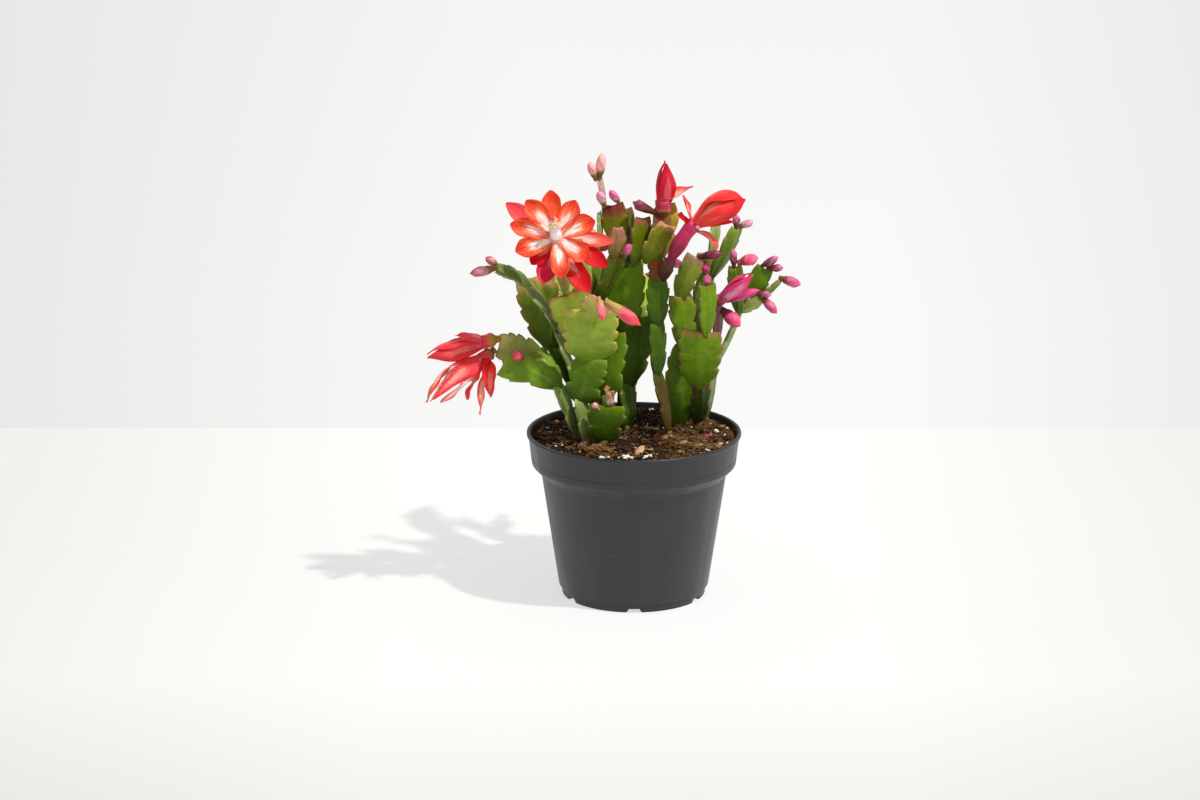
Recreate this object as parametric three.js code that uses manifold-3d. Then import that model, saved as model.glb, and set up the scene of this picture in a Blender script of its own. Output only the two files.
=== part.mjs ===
// A Christmas cactus in flower, in a round plastic nursery pot.
// Millimetres and degrees, +Z up. The origin is the middle of the pot's foot, and the plant's front faces -Y.
// The plant is written as it grew: each stem is a chain of flat jointed pads that ends in buds or blooms.
import * as THREE from "three";
import { mergeVertices } from "three/addons/utils/BufferGeometryUtils.js";
import Module from "manifold-3d";

const wasm = await Module();
wasm.setup();

// Pot: a thin tapered shell with a rolled band at the rim and a notched foot ring.
const pot = {
  height: 86,
  rimRadius: 55,
  bandRadius: 52.4, // the band's lower edge
  bandHeight: 16.5,
  shoulder: 5, // height of the slope from the band in to the body
  neckRadius: 47.6,
  bodyRadius: 38.6, // the body's lower edge
  footRadius: 37,
  footHeight: 4.4,
  footRing: 2, // how wide the ring is that the pot stands on
  hubRadius: 9, // the middle of the floor comes down to the table too
  wall: 1.2,
  floorUnderside: 2.6,
  floorThick: 1.4,
  rounds: 28, // facets around
};
const footNotches = { count: 6, width: 7, height: 2 };
const drainHoles = { count: 6, radius: 3.2, circle: 22.5 };

// Soil: fills the pot to just under the rim. Its top is mounded and uneven, with crumbs on it.
const soil = { level: 83, gap: 0.35, bumps: 1.2, mound: 0.8, rounds: 28, rings: 4, crumbs: 4 };
const root = { depth: 14, radius: 2.5, hole: 3.3, sides: 6 };

// Pads: the flat green links of a stem, thick along the midrib and toothed at the edges.
const padThick = 3.4;
const padSink = 2.6; // how far a pad's neck is sunk into the tip below it
const padTip = 0.97; // where the middle of the cut tip lies, as a share of the pad's length
const clear = 0.5; // gap between a tip and the bloom or bud that sits on it

const degree = Math.PI / 180;

// A repeatable number from 0 to 1 for pad or bud number n and choice k.
function wobble(n, k) {
  const s = Math.sin(n * 12.9898 + k * 78.233) * 43758.5453;
  return s - Math.floor(s);
}

// The unit directions of something that leans right by lean and towards the viewer by toward, with its
// flat face turned by face: along it, across it, and out of its front face.
function directions(lean, toward, face = 0) {
  const [a, b, c] = [lean * degree, toward * degree, face * degree];
  const along = new THREE.Vector3(Math.sin(a) * Math.cos(b), -Math.sin(b), Math.cos(a) * Math.cos(b));
  const across = new THREE.Vector3(Math.cos(a), 0, -Math.sin(a)).applyAxisAngle(along, c);
  const front = new THREE.Vector3().crossVectors(across, along);
  return { along, across, front };
}

// A closed three.js geometry as a solid that can be joined and cut.
function solid(geometry) {
  const bare = geometry.clone();
  bare.deleteAttribute("normal");
  bare.deleteAttribute("uv");
  const merged = mergeVertices(bare, 1e-4);
  return new wasm.Manifold(
    new wasm.Mesh({
      numProp: 3,
      vertProperties: new Float32Array(merged.getAttribute("position").array),
      triVerts: new Uint32Array(merged.index.array),
    }),
  );
}

const fuse = (solids) => solids.reduce((whole, piece) => whole.add(piece));

// The solid as a named mesh of the part.
function meshOf(name, made, material) {
  const { vertProperties, triVerts } = made.getMesh();
  const geometry = new THREE.BufferGeometry()
    .setAttribute("position", new THREE.BufferAttribute(new Float32Array(vertProperties), 3))
    .setIndex(new THREE.BufferAttribute(new Uint32Array(triVerts), 1));
  geometry.computeVertexNormals();
  const mesh = new THREE.Mesh(geometry, material);
  mesh.name = name;
  return mesh;
}

// A closed skin over rows of points: place(row, side) puts each one. It starts from a cylinder's net.
function skin(rows, sides, place) {
  const net = new THREE.CylinderGeometry(1, 1, 1, sides, rows - 1);
  const at = net.getAttribute("position");
  const ends = [0, rows - 1].map((row) => {
    const middle = new THREE.Vector3();
    for (let side = 0; side < sides; side++) middle.addScaledVector(place(row, side), 1 / sides);
    return middle;
  });
  for (let i = 0; i < at.count; i++) {
    const row = Math.round((at.getY(i) + 0.5) * (rows - 1));
    const turn = Math.atan2(at.getX(i), at.getZ(i)) / (2 * Math.PI);
    const side = Math.round(((turn + 1) % 1) * sides) % sides;
    const onAxis = Math.hypot(at.getX(i), at.getZ(i)) < 0.5;
    const point = onAxis ? ends[row === 0 ? 0 : 1] : place(row, side);
    at.setXYZ(i, point.x, point.y, point.z);
  }
  return solid(net);
}

// A round body along a path: radii is a list of [share of the path, radius].
function roundSolid(path, radii, sides) {
  const hint = new THREE.Vector3(0.31, 0.9, 0.17);
  return skin(radii.length, sides, (row, side) => {
    const [share, radius] = radii[row];
    const along = path.getTangent(share);
    const u = new THREE.Vector3().crossVectors(along, hint).normalize();
    const v = new THREE.Vector3().crossVectors(along, u);
    const turn = (side / sides) * 2 * Math.PI;
    return path
      .getPoint(share)
      .addScaledVector(u, radius * Math.cos(turn))
      .addScaledVector(v, radius * Math.sin(turn));
  });
}

// The pot's wall thickness is kept all the way down: its outline inside is the outside moved in.
const potOutside = [
  [pot.footRadius, pot.footHeight],
  [pot.bodyRadius, pot.footHeight + 0.3],
  [pot.neckRadius, pot.height - pot.bandHeight - pot.shoulder],
  [pot.bandRadius, pot.height - pot.bandHeight],
  [pot.rimRadius - 0.9, pot.height - 2.4],
  [pot.rimRadius, pot.height - 1.8],
  [pot.rimRadius, pot.height],
];
const floorTop = pot.floorUnderside + pot.floorThick;
const insideRadius = (z) => {
  const slope = potOutside.slice(1, 5);
  const i = Math.max(1, slope.findIndex(([, height]) => height >= z));
  const [[r0, z0], [r1, z1]] = z > slope[3][1] ? slope.slice(2) : [slope[i - 1], slope[i]];
  return r0 + ((r1 - r0) * (z - z0)) / (z1 - z0) - pot.wall;
};

// An outline of [radius, height] turned around the pot's axis.
function turned(outline, rounds) {
  const points = outline.map(([radius, height]) => new THREE.Vector2(radius, height));
  return new THREE.LatheGeometry(points, rounds).rotateX(90 * degree);
}

function potSolid() {
  const bandFoot = pot.height - pot.bandHeight;
  const inside = [pot.height, bandFoot, bandFoot - pot.shoulder, floorTop];
  const outline = [
    [0, 0],
    [pot.hubRadius, 0],
    [pot.hubRadius + 1, pot.floorUnderside],
    [pot.footRadius - pot.footRing - 0.6, pot.floorUnderside],
    [pot.footRadius - pot.footRing, 0],
    [pot.footRadius, 0],
    ...potOutside,
    ...inside.map((z) => [insideRadius(z), z]),
    [0, floorTop],
  ];
  let made = solid(turned(outline, pot.rounds));
  for (let i = 0; i < footNotches.count; i++) {
    const turn = (i * 360) / footNotches.count - 90;
    const { width, height } = footNotches;
    const notch = new THREE.BoxGeometry(8, width, 2 * height).translate(pot.footRadius - 1, 0, 0);
    made = made.subtract(solid(notch.rotateZ(turn * degree)));
  }
  for (let i = 0; i < drainHoles.count; i++) {
    const turn = ((i + 0.5) * 360) / drainHoles.count;
    const hole = new THREE.CylinderGeometry(drainHoles.radius, drainHoles.radius, 12, 8).rotateX(90 * degree);
    made = made.subtract(solid(hole.translate(drainHoles.circle, 0, 0).rotateZ(turn * degree)));
  }
  return made;
}

// The height of the soil's top, without its crumbs.
function soilTop(x, y) {
  const out = Math.hypot(x, y) / pot.bandRadius;
  const uneven = Math.sin(x * 0.21 + 1.3) * Math.cos(y * 0.17 - 0.4) + 0.5 * Math.sin(x * 0.43 - y * 0.38);
  return soil.level + soil.mound * (1 - out * out) + soil.bumps * 0.6 * uneven * (1 - out ** 4);
}

function soilSolid(roots) {
  const shoulder = pot.height - pot.bandHeight - pot.shoulder;
  const walls = [floorTop + soil.gap, shoulder, pot.height - pot.bandHeight, soil.level];
  const outline = [[0, floorTop + soil.gap], ...walls.map((z) => [insideRadius(z) - soil.gap, z])];
  const [edge] = outline.at(-1);
  for (let ring = soil.rings - 1; ring >= 0; ring--) outline.push([(edge * ring) / soil.rings, soil.level]);
  const net = turned(outline, soil.rounds);
  const at = net.getAttribute("position");
  for (let i = 0; i < at.count; i++) {
    const out = Math.hypot(at.getX(i), at.getY(i));
    if (at.getZ(i) > soil.level - 0.01 && out < edge - 1) at.setZ(i, soilTop(at.getX(i), at.getY(i)));
  }
  let made = solid(net);
  for (let i = 0; i < soil.crumbs; i++) {
    const turn = i * 137.5 * degree;
    const out = (edge - 3.5) * Math.sqrt((i + 0.5) / soil.crumbs);
    const [x, y] = [out * Math.cos(turn), out * Math.sin(turn)];
    if (roots.some((place) => Math.hypot(place[0] - x, place[1] - y) < 6.5)) continue;
    const size = 0.9 + 1.1 * wobble(i, 51);
    const crumb = new THREE.IcosahedronGeometry(size).scale(1, 0.8 + 0.5 * wobble(i, 52), 0.8);
    made = made.add(solid(crumb.rotateZ(turn * 3).translate(x, y, soilTop(x, y) + 0.1)));
  }
  for (const [x, y] of roots) {
    const hole = new THREE.CylinderGeometry(root.hole, root.hole, 2 * root.depth + 2 * clear, root.sides);
    made = made.subtract(solid(hole.rotateX(90 * degree).translate(x, y, soilTop(x, y))));
  }
  return made;
}

// One side of a pad's outline as [share of the length, share of the half width], from neck to tip:
// it swells from the neck to its shoulder, breaks into forward-pointing teeth, and ends in a horn beside the
// cut tip, which is cut wide.
function padEdge(item, teeth, seed, side) {
  const edge = [[0, 0.18], [0.2, item.shoulder]];
  const reach = [0.9, 1, 1, 0.94];
  const notch = Math.min(0.17, 3 / item.width);
  for (let i = 0; i < teeth; i++) {
    const share = (i + 1) / (teeth + 0.45);
    const along = 0.16 + 0.74 * share + 0.035 * (wobble(seed, 3 * i + side) - 0.5);
    const out = reach[i] + 0.1 * (wobble(seed, 7 * i + side) - 0.5);
    edge.push([along, out], [along + 0.05, out - notch]);
  }
  edge.push([1.01, item.cut + 0.1 * (wobble(seed, 20 + side) - 0.5)]);
  return edge;
}

// A pad whose joint is at from and whose tip is its length away. Its middle line arches by bow mm out of the
// front face and by sweep mm across.
function padSolid(from, item, seed) {
  const { along, across, front } = directions(item.lean, item.toward, item.face);
  const whole = (item.length + padSink) / padTip;
  const teeth = item.teeth ?? (item.width > 16 ? 3 : 2);
  const edges = [0, 1].map((side) => padEdge(item, teeth, seed, side));
  const rows = edges[0].length;
  const thick = Math.min(padThick, item.width * 0.36);
  return skin(rows, 4, (row, side) => {
    const [left, right] = [edges[0][row], edges[1][row]];
    const middle = row === rows - 1 ? padTip : (left[0] + right[0]) / 2;
    const share = [left[0], middle, right[0], middle][side];
    const spread = [-left[1], 0, right[1], 0][side];
    const lift = [0, 1, 0, -1][side] * (thick / 2) * (0.78 + 0.3 * Math.sin(Math.PI * Math.min(share, 1)));
    return from
      .clone()
      .addScaledVector(along, whole * share - padSink)
      .addScaledVector(across, (item.width / 2) * spread + item.sweep * 4 * share * (1 - share))
      .addScaledVector(front, lift + item.bow * 4 * share * (1 - share));
  });
}

// A bud: a green cup that swells into furled petals, drawn to a point.
function budSolid(from, item, seed) {
  const { along, front } = directions(item.lean, item.toward);
  const bend = (wobble(seed, 31) - 0.3) * item.length * 0.12;
  const middle = from.clone().addScaledVector(along, item.length / 2).addScaledVector(front, bend);
  const tip = from.clone().addScaledVector(along, item.length);
  const path = new THREE.QuadraticBezierCurve3(from, middle, tip);
  const r = item.width / 2;
  const cup = item.cup ?? 0.26;
  const swell = [[0, 0.42], [cup * 0.6, 0.76], [cup + 0.28, 1], [0.82, 0.72], [1, 0.08]];
  return roundSolid(path, swell.map(([share, size]) => [share, size * r]), 5);
}

// One petal. It leaves the tube at flare degrees from the tube's axis and bends out by curl more degrees.
// turn is clockwise from the top for someone who looks into the mouth. A limp petal's tip hangs droop mm
// lower, and its flat is turned by twist. widths are its shares of its width from root to tip.
function petalSolid(path, [at, turn, flare, curl, length, width, droop = 0, twist = 0], widths) {
  const rows = widths.length;
  const axis = path.getTangent(at);
  const up = new THREE.Vector3(0, 0, 1).addScaledVector(axis, -axis.z).normalize();
  const out = up.applyAxisAngle(axis, -turn * degree);
  const across = new THREE.Vector3().crossVectors(axis, out);
  const spine = [path.getPoint(at).addScaledVector(out, 1.6)];
  const backs = [];
  for (let row = 0; row < rows; row++) {
    const angle = (flare + curl * (row / (rows - 1)) ** 1.5) * degree;
    const step = axis.clone().multiplyScalar(Math.cos(angle)).addScaledVector(out, Math.sin(angle));
    backs.push(new THREE.Vector3().crossVectors(across, step));
    spine.push(spine[row].clone().addScaledVector(step, length / (rows - 1)));
  }
  spine.forEach((point, row) => (point.z -= droop * (row / rows) ** 2));
  const cupping = 0.18;
  return skin(rows, 4, (row, side) => {
    const half = (width / 2) * widths[row];
    const spread = [-1, 0, 1, 0][side];
    const lift = [0, 0.5, 0, -0.5][side] + cupping * half * (spread === 0 ? 1 : -1);
    const turned = twist * degree * Math.min(row / 2, 1);
    const [x, y] = [half * spread, lift * (row === rows - 1 ? 0.4 : 1)];
    return spine[row]
      .clone()
      .addScaledVector(across, x * Math.cos(turned) - y * Math.sin(turned))
      .addScaledVector(backs[row], x * Math.sin(turned) + y * Math.cos(turned));
  });
}

// A bloom: a short green cup, a tube that bends from its first direction to the way its mouth looks, its
// petals, the core of inner petals that are still rolled, and the brush of stamens round the style.
function bloomSolid(from, item) {
  const first = directions(item.lean, item.toward).along;
  const last = directions(...item.mouth).along;
  const bend = from.clone().addScaledVector(first, item.tube[0]);
  const mouth = bend.clone().addScaledVector(last, item.tube[1]);
  const path = new THREE.QuadraticBezierCurve3(from, bend, mouth);
  const r = item.thick / 2;
  const cup = [[0, 0.5], [0.12, 0.86], [0.26, 1], [0.42, 0.9], [0.7, 0.94]];
  const radii = [...cup.map(([share, size]) => [share, size * r]), [1, item.throat / 2]];
  const petals = item.petals.map((petal) => petalSolid(path, petal, item.shape));
  const solids = [roundSolid(path, radii, 6), ...petals];
  if (item.core) {
    const [length, size] = item.core;
    const tip = mouth.clone().addScaledVector(last, length);
    const line = new THREE.QuadraticBezierCurve3(path.getPoint(0.85), mouth, tip);
    const swell = [[0, 0.7], [0.3, 1], [0.7, 0.74], [1, 0.08]];
    solids.push(roundSolid(line, swell.map(([share, thickness]) => [share, thickness * size]), 6));
  }
  if (item.brush) {
    const [reach, ...lean] = item.brush;
    const styleTip = mouth.clone().addScaledVector(directions(...lean).along, reach);
    const line = new THREE.QuadraticBezierCurve3(path.getPoint(0.85), mouth, styleTip);
    solids.push(roundSolid(line, [[0, 1.6], [0.45, 1.5], [0.84, 1], [0.9, 1.3], [1, 0.5]], 6));
  }
  // The outer shell alone, so that no hollow is left where furled petals close on each other.
  return fuse(solids).decompose().sort((a, b) => b.volume() - a.volume())[0];
}

const pad = (lean, toward, face, length, width, grows = [], more = {}) => ({
  kind: "pad", lean, toward, face, length, width, grows, bow: 1.2, sweep: 0, cut: 0.72,
  shoulder: 0.63, ...more,
});
const bud = (lean, toward, length, width, more = {}) => ({
  kind: "bud", lean, toward, length, width, ...more,
});
const bloom = (name, lean, toward, form, more = {}) => ({
  kind: "bloom", name, lean, toward, ...form, ...more,
});

// Each bloom's form: its petals' shape, wide towards the tip or drawn to a point, and the petals as [where on
// the tube, turn, flare, curl, length, width, droop, twist]. A core is [length, radius], a brush [length,
// lean, toward].
const spread = [0.36, 0.6, 0.88, 1, 0.94, 0.5];
const limp = [0.4, 0.7, 0.94, 1, 0.82, 0.3];
const shrunk = [0.5, 0.92, 0.9, 0.6, 0.46, 0.2];
const pointed = [0.6, 0.94, 1, 0.66, 0.14];
const wideOpen = {
  shape: spread,
  tube: [27, 22], mouth: [-6, 72], thick: 7.5, throat: 9, brush: [14, -8, 34],
  petals: [
    [0.97, -41, 66, 34, 22.5, 10.5], [0.97, 29, 68, 34, 19.5, 10], [0.97, 67, 70, 34, 20, 10.5],
    [0.97, 124, 72, 36, 19, 10], [0.97, 171, 72, 36, 20, 9.5], [0.97, 249, 72, 34, 20.5, 10],
    [0.97, 284, 72, 30, 22.5, 9.5], [0.84, -9, 74, 16, 23.5, 10], [0.84, -56, 84, 4, 30, 9],
    [0.84, 93, 84, 6, 27, 7.5], [0.84, 118, 86, 10, 28, 9.5], [0.84, 148, 88, 8, 31, 10.5],
    [0.78, 194, 84, 6, 23, 10], [0.8, 222, 80, 8, 17, 9.5],
  ],
};
const furled = {
  shape: pointed, tube: [6, 6], mouth: [-105, 8], thick: 7.6, throat: 8, core: [24.6, 3.7],
  petals: [
    [0.66, 0, 11, -43, 29, 10], [0.66, 90, 11, -41, 29, 10], [0.66, 180, 12, -45, 28, 10],
    [0.6, 270, 12, -43, 26, 9.4], [0.5, 24, 34, -32, 16, 7.4],
  ],
};
const wilting = {
  shape: shrunk, tube: [4, 4], mouth: [-121, 16], thick: 7, throat: 7, brush: [12, -121, 16],
  petals: [
    [0.8, 345, 20, -78, 36.5, 10, 4], [0.8, 62, 24, -44, 32.5, 9.6, 7], [0.8, 292, 14, -60, 33.5, 8.3, 5],
    [0.8, 122, 20, -41, 30, 8.2, 4], [0.8, 185, 30, 20, 22, 8.4], [0.5, 143, 42, 16, 30, 7.6, 0, 40],
    [0.45, 112, 50, 26, 20, 7], [0.4, 178, 58, 8, 21.5, 9, 0, 60],
  ],
};
const spire = {
  shape: pointed, tube: [3, 4], mouth: [3, 4], thick: 8.6, throat: 8.2, core: [19, 3.8],
  petals: [
    [0.4, 317, 11, -49, 25.4, 9.8], [0.4, 77, 10, -46, 22.6, 9.6], [0.4, 197, 11, -46, 24.2, 10],
    [0.95, 112, 56, 24, 15.5, 9.4],
  ],
};
const windswept = {
  shape: limp, tube: [20, 4], mouth: [65, 10], thick: 8, throat: 8.5, brush: [10, 65, 10],
  petals: [
    [0.97, 0, 32, -128, 34, 16.4], [0.97, 44, 22, -94, 30.7, 12], [0.97, -42, 25, -102, 31.3, 14],
    [0.97, -88, 14, -40, 30, 11.5], [0.97, 107, 13, -30, 28.5, 10], [0.95, 166, 23, 4, 19.5, 8],
    [0.9, -14, 66, 10, 15.5, 7.6], [0.75, -30, 70, 40, 9, 7.5], [0.72, 190, 62, 62, 17, 7.4],
  ],
};
const magentaSpindle = {
  shape: pointed, tube: [5, 4], mouth: [49, 14], thick: 6.2, throat: 6.4, core: [16, 3],
  petals: [
    [0.4, 0, 12, -49, 21, 8.4], [0.4, 120, 12, -49, 20.5, 8.4], [0.4, 240, 12, -49, 21, 8.4],
    [0.5, 60, 14, -37, 13, 5],
  ],
};
const driedRemains = {
  shape: limp, tube: [3.4, 3.4], mouth: [-4, 10], thick: 4.6, throat: 3.8,
  petals: [[0.7, 300, 10, -10, 5.4, 3.6], [0.6, 100, 10, -16, 4, 3.4]],
};

// The stems, each from its root on the soil as [right, back]. On a pad's tip, at says where an item grows,
// from -1 at the left horn to 1 at the right one. up moves it down the pad, as a share of the pad's length,
// and off moves it out of the pad's front face.
const stems = [
  ["stem_left_arch", [-23.6, 1],
    pad(-16.3, -4, 82, 21.9, 13, [
      pad(-17.4, 4, 80, 33.4, 14, [
        pad(-30.6, 8, 78, 28.9, 14, [
          pad(-58, 6, 66, 17.9, 11, [
            bud(-101, 5, 12.4, 5.2, { at: -0.5 }), bud(-53, 10, 6.9, 4.2, { at: 1 }),
          ], { bow: 2 }),
        ], { bow: 2 }),
      ]),
      pad(-29, -16, 60, 25, 13, [pad(-15, 0, 4, 38, 22, [], { cut: 0.8 })], { at: -0.4 }),
    ])],
  ["stem_left_low", [-29.3, -7],
    pad(-20, 6.8, 66, 29.2, 13, [
      pad(-66.4, 9.5, 14, 30.5, 15.5, [
        bud(-50, 48, 6.5, 5.4, { up: 0.72, at: 1.9, off: 1.5 }),
      ], { sweep: 2.4 }),
      pad(-35, -20, 40, 20.2, 12, [
        pad(-79, 6.3, -4, 19.6, 17, [
          bloom("bloom_left_closed", -98, 9, furled, { at: 0.75 }),
          bloom("bloom_left_hanging", -124, 17, wilting, { at: -0.85 }),
        ]),
      ], { at: 0.4 }),
    ], { bow: 1 })],
  ["stem_front", [-24.6, -14.5],
    pad(-8, -8, 45, 21, 10, [
      pad(14.4, 5.3, -10, 23.5, 19.5, [
        pad(-0.9, 14.8, 0, 27.4, 28.5, [
          pad(34.9, 50, 0, 14.4, 15, [
            bud(122, 16, 20, 6.6, { at: 0.8, cup: 0.4 }), bud(168, 24, 10.6, 4.6, { at: -0.4, off: 1.4 }),
          ]),
        ], { cut: 0.92, shoulder: 0.84 }),
      ], { cut: 0.86, shoulder: 0.9 }),
    ])],
  ["stem_front_inner", [-13.5, -3.5],
    pad(-2, 8, 62, 22, 12, [pad(5.5, -3.6, -14, 31.8, 17.5, [], { shoulder: 0.85 })])],
  ["stem_front_short", [-15.5, -17.5],
    pad(5.2, 5, 0, 18.4, 19.6, [
      bloom("dried_flower", 2, 4, driedRemains, { at: 0.3 }),
      bud(-40, 20, 3.6, 3.2, { up: 0.9, at: -1, off: 1.6 }),
    ], { teeth: 2, cut: 0.86 })],
  ["stem_middle_left", [-11, 3],
    pad(-14.3, -2.3, 55, 20.6, 13, [
      pad(-9.1, 4.4, 40, 25.9, 14, [
        pad(-20.5, 13, 10, 33.4, 23.5, [bloom("bloom_front_open", -8, 4, wideOpen)], { at: -1, cut: 0.88 }),
        pad(0, -5, 30, 22, 14, [
          pad(21, 13, 40, 29.8, 14, [
            pad(8, 15, 20, 15, 11, [], { at: -0.6, teeth: 1, cut: 0.46 }),
            bud(16, 30, 8, 4.4, { at: 0.8, off: 3 }),
          ]),
          pad(4, -15, 60, 25.7, 10, [
            pad(3.8, -2, 72, 20.4, 8), bud(40, 40, 6, 4.8, { at: 1.7, off: 0.6 }),
          ], { at: -0.6 }),
        ], { at: 0.4 }),
      ]),
    ])],
  ["stem_middle", [-4, 6],
    pad(2.2, -10.7, 50, 22.4, 14, [
      pad(-4.5, 0, 30, 26.7, 20, [
        pad(2.1, 6, -5, 38.6, 20, [
          pad(-9.1, -7.2, -10, 29.5, 14, [
            pad(-8.2, 0, 20, 14.6, 4.4, [
              bud(6, 0, 12.4, 5, { at: 0.2 }), bud(-18, 16, 9.4, 4.2, { at: -2.2 }),
            ], { at: -1.35, teeth: 0 }),
            bud(-20, 26, 9, 4.6, { at: -1.1, off: 2.8 }), bud(-34, 14, 8, 4.2, { at: 0.9 }),
          ], { at: -0.5, cut: 0.8 }),
          pad(-1.1, -17, 40, 27.5, 12),
          pad(9.4, 4.7, 30, 24.3, 12, [], { at: 0.8 }),
        ]),
      ]),
      pad(9.9, -3.2, 20, 35.6, 18, [], { at: 0.3 }),
    ])],
  ["stem_right_brown", [17.5, -1],
    pad(-10.7, -1.7, 60, 31.2, 11, [
      pad(-0.2, 0, 40, 26.4, 12, [
        pad(-0.2, -2.5, 20, 23.4, 13, [
          pad(-2.9, -5.3, 0, 10.8, 9, [
            pad(29, 8, 15, 21, 12.5, [], { at: -2, off: 1, cut: 0.7, sweep: -1 }),
            pad(6, -8.6, 20, 21.5, 12, [
              bloom("bloom_top_closed", 3.8, 4, spire, { sink: 0.25 }),
              bud(-62, 8, 12.4, 5.4, { at: -1.6, sink: 0.5, cup: 0.5 }),
            ], { at: 0.4 }),
            pad(11, -22, 5, 28.5, 14, [], { at: 0.6, off: -1, cut: 0.45 }),
          ]),
          pad(23, 26, 0, 13.8, 8, [
            bloom("bloom_right_open", 26, 12, windswept, { sink: 0.8 }),
          ], { at: 0.6, teeth: 1 }),
        ]),
      ]),
    ])],
  ["stem_right_front", [23, 14],
    pad(4.8, 0, 10, 41.5, 19, [
      pad(-7, 0, 25, 27.6, 16, [pad(21, 6, -10, 22.5, 12.5, [
        bud(80, 6, 10, 5, { at: 1.1 }), bud(-60, 30, 5.5, 5, { up: 0.62, at: -1.8, off: 0.9 }),
      ])]),
    ], { teeth: 4, cut: 0.6 })],
  ["stem_right_inner", [33, 19],
    pad(3, 28, 30, 27.8, 12, [
      pad(2.9, 12, -10, 30, 23.5, [
        pad(0.8, 0, 35, 24.7, 12, [bud(4, 4, 5, 4.2)], { at: 0.4, cut: 0.86 }),
      ], { at: -0.6, cut: 0.84 }),
    ])],
  ["stem_right_outer", [37, 28],
    pad(8.8, 3.6, 75, 30.2, 14, [
      pad(23.4, 7.5, 70, 33, 10, [
        pad(54, 26, 20, 13, 8, [
          bud(92, 6, 7.4, 3.8, { at: -1.6, off: -0.2 }), bud(134, 24, 10.4, 4.8, { at: 0.6 }),
        ]),
        pad(-5.2, 13, 0, 25, 9, [
          bud(-4, 4, 9, 4, { at: -0.2 }), bud(74, 0, 9.4, 6, { at: 1.35 }),
        ], { at: -1 }),
        pad(29.3, 6, 10, 25.7, 12, [
          bud(56, 13, 9.4, 4.2, { at: -0.5 }), bud(84, 16, 7.1, 4, { at: 0.8 }),
        ], { at: -0.4 }),
        pad(52, 4, 60, 25, 9, [bud(106, 11, 10.1, 5.2)], { at: 0.2 }),
      ]),
      pad(3.2, 22, 40, 38, 7, [
        bloom("bloom_right_spindle", 45.4, 14, magentaSpindle, { at: -0.4 }),
        bud(72, 4, 20.5, 5, { up: 0.97, at: 1.75, off: -1.1 }),
        bud(128, 32, 12.2, 7, { up: 0.84, at: 1.5, off: 1.3, sink: 0.2 }),
      ], { at: -0.7 }),
    ])],
  ["stem_back_right", [25, 33],
    pad(4.6, 7.8, 60, 26.4, 14, [
      pad(7.3, 8.6, 30, 26.8, 18, [
        pad(15, 6, 40, 25.4, 14, [
          pad(26, 3, 46, 28.6, 12.5, [
            bud(2, 8, 6.4, 4.2, { at: -0.3 }), bud(64, 15, 7.6, 4.2, { at: 0.8 }),
          ], { at: 1 }),
          pad(10.5, -3.8, 60, 30.1, 11, [], { at: -0.2 }),
          pad(3.2, 24, 10, 15.2, 9, [
            bud(6, 34, 6.5, 5, { up: 0.36, off: 3.2, at: 0.2 }),
          ], { at: -0.9 }),
        ]),
      ]),
    ])],
  ["stem_back_left", [-20, 27],
    pad(-6, -12, 60, 30, 14, [
      pad(-8, -22, 20, 29, 19, [
        pad(6, -34, 10, 27, 17, [
          pad(10, -66, 0, 17, 13, [bud(14, -100, 11, 5.2, { sink: 0.5 })]),
        ], { at: 0.4 }),
        pad(-24, -50, 0, 24, 15, [
          bloom("bloom_back_closed", -22, -88, spire, { mouth: [-20, -120], sink: 0.9 }),
        ], { at: -0.7 }),
      ]),
    ])],
  ["stem_back_middle", [-6, 35],
    pad(8, -8, 40, 28, 14, [
      pad(2, -20, 0, 30, 20, [
        pad(-4, -16, 10, 30, 16, [
          bud(-20, -40, 9, 4.6, { at: -0.8 }), bud(24, -60, 8, 4.4, { at: 0.8 }),
        ]),
        pad(30, -60, 20, 20, 13, [bud(20, -110, 12, 5.4)], { at: 0.8 }),
      ]),
    ])],
];

const greenSkin = new THREE.MeshStandardMaterial({ color: 0x5c8a1e, roughness: 0.45, metalness: 0 });
const petalRed = new THREE.MeshStandardMaterial({ color: 0xe8242b, roughness: 0.5, metalness: 0 });
const budPink = new THREE.MeshStandardMaterial({ color: 0xd2386c, roughness: 0.5, metalness: 0 });
const dryBrown = new THREE.MeshStandardMaterial({ color: 0x8f5f3a, roughness: 0.85, metalness: 0 });
const potPlastic = new THREE.MeshStandardMaterial({ color: 0x45464b, roughness: 0.55, metalness: 0 });
const soilBrown = new THREE.MeshStandardMaterial({ color: 0x4a3524, roughness: 0.95, metalness: 0 });

const plant = new THREE.Group();
let pads = 0;
let buds = 0;

// Where on a pad something grows: on its cut tip, lifted far enough that a tilted foot stays clear, less its
// sink where the foot meets no horn.
function seatOn(from, item, next) {
  const { along, across, front } = directions(item.lean, item.toward, item.face);
  const up = next.up ?? 1;
  const seat = from
    .clone()
    .addScaledVector(along, item.length * up)
    .addScaledVector(across, (item.width / 4) * (next.at ?? 0))
    .addScaledVector(front, item.bow * 4 * up * (1 - up) + (next.off ?? 0));
  if (next.kind === "pad") return seat;
  const tilt = along.angleTo(directions(next.lean, next.toward).along);
  const foot = (next.kind === "bud" ? 0.42 * next.width : 0.5 * next.thick) / 2;
  return seat.addScaledVector(along, clear + foot * (0.45 + 1.15 * Math.sin(tilt)) - (next.sink ?? 0));
}

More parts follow.
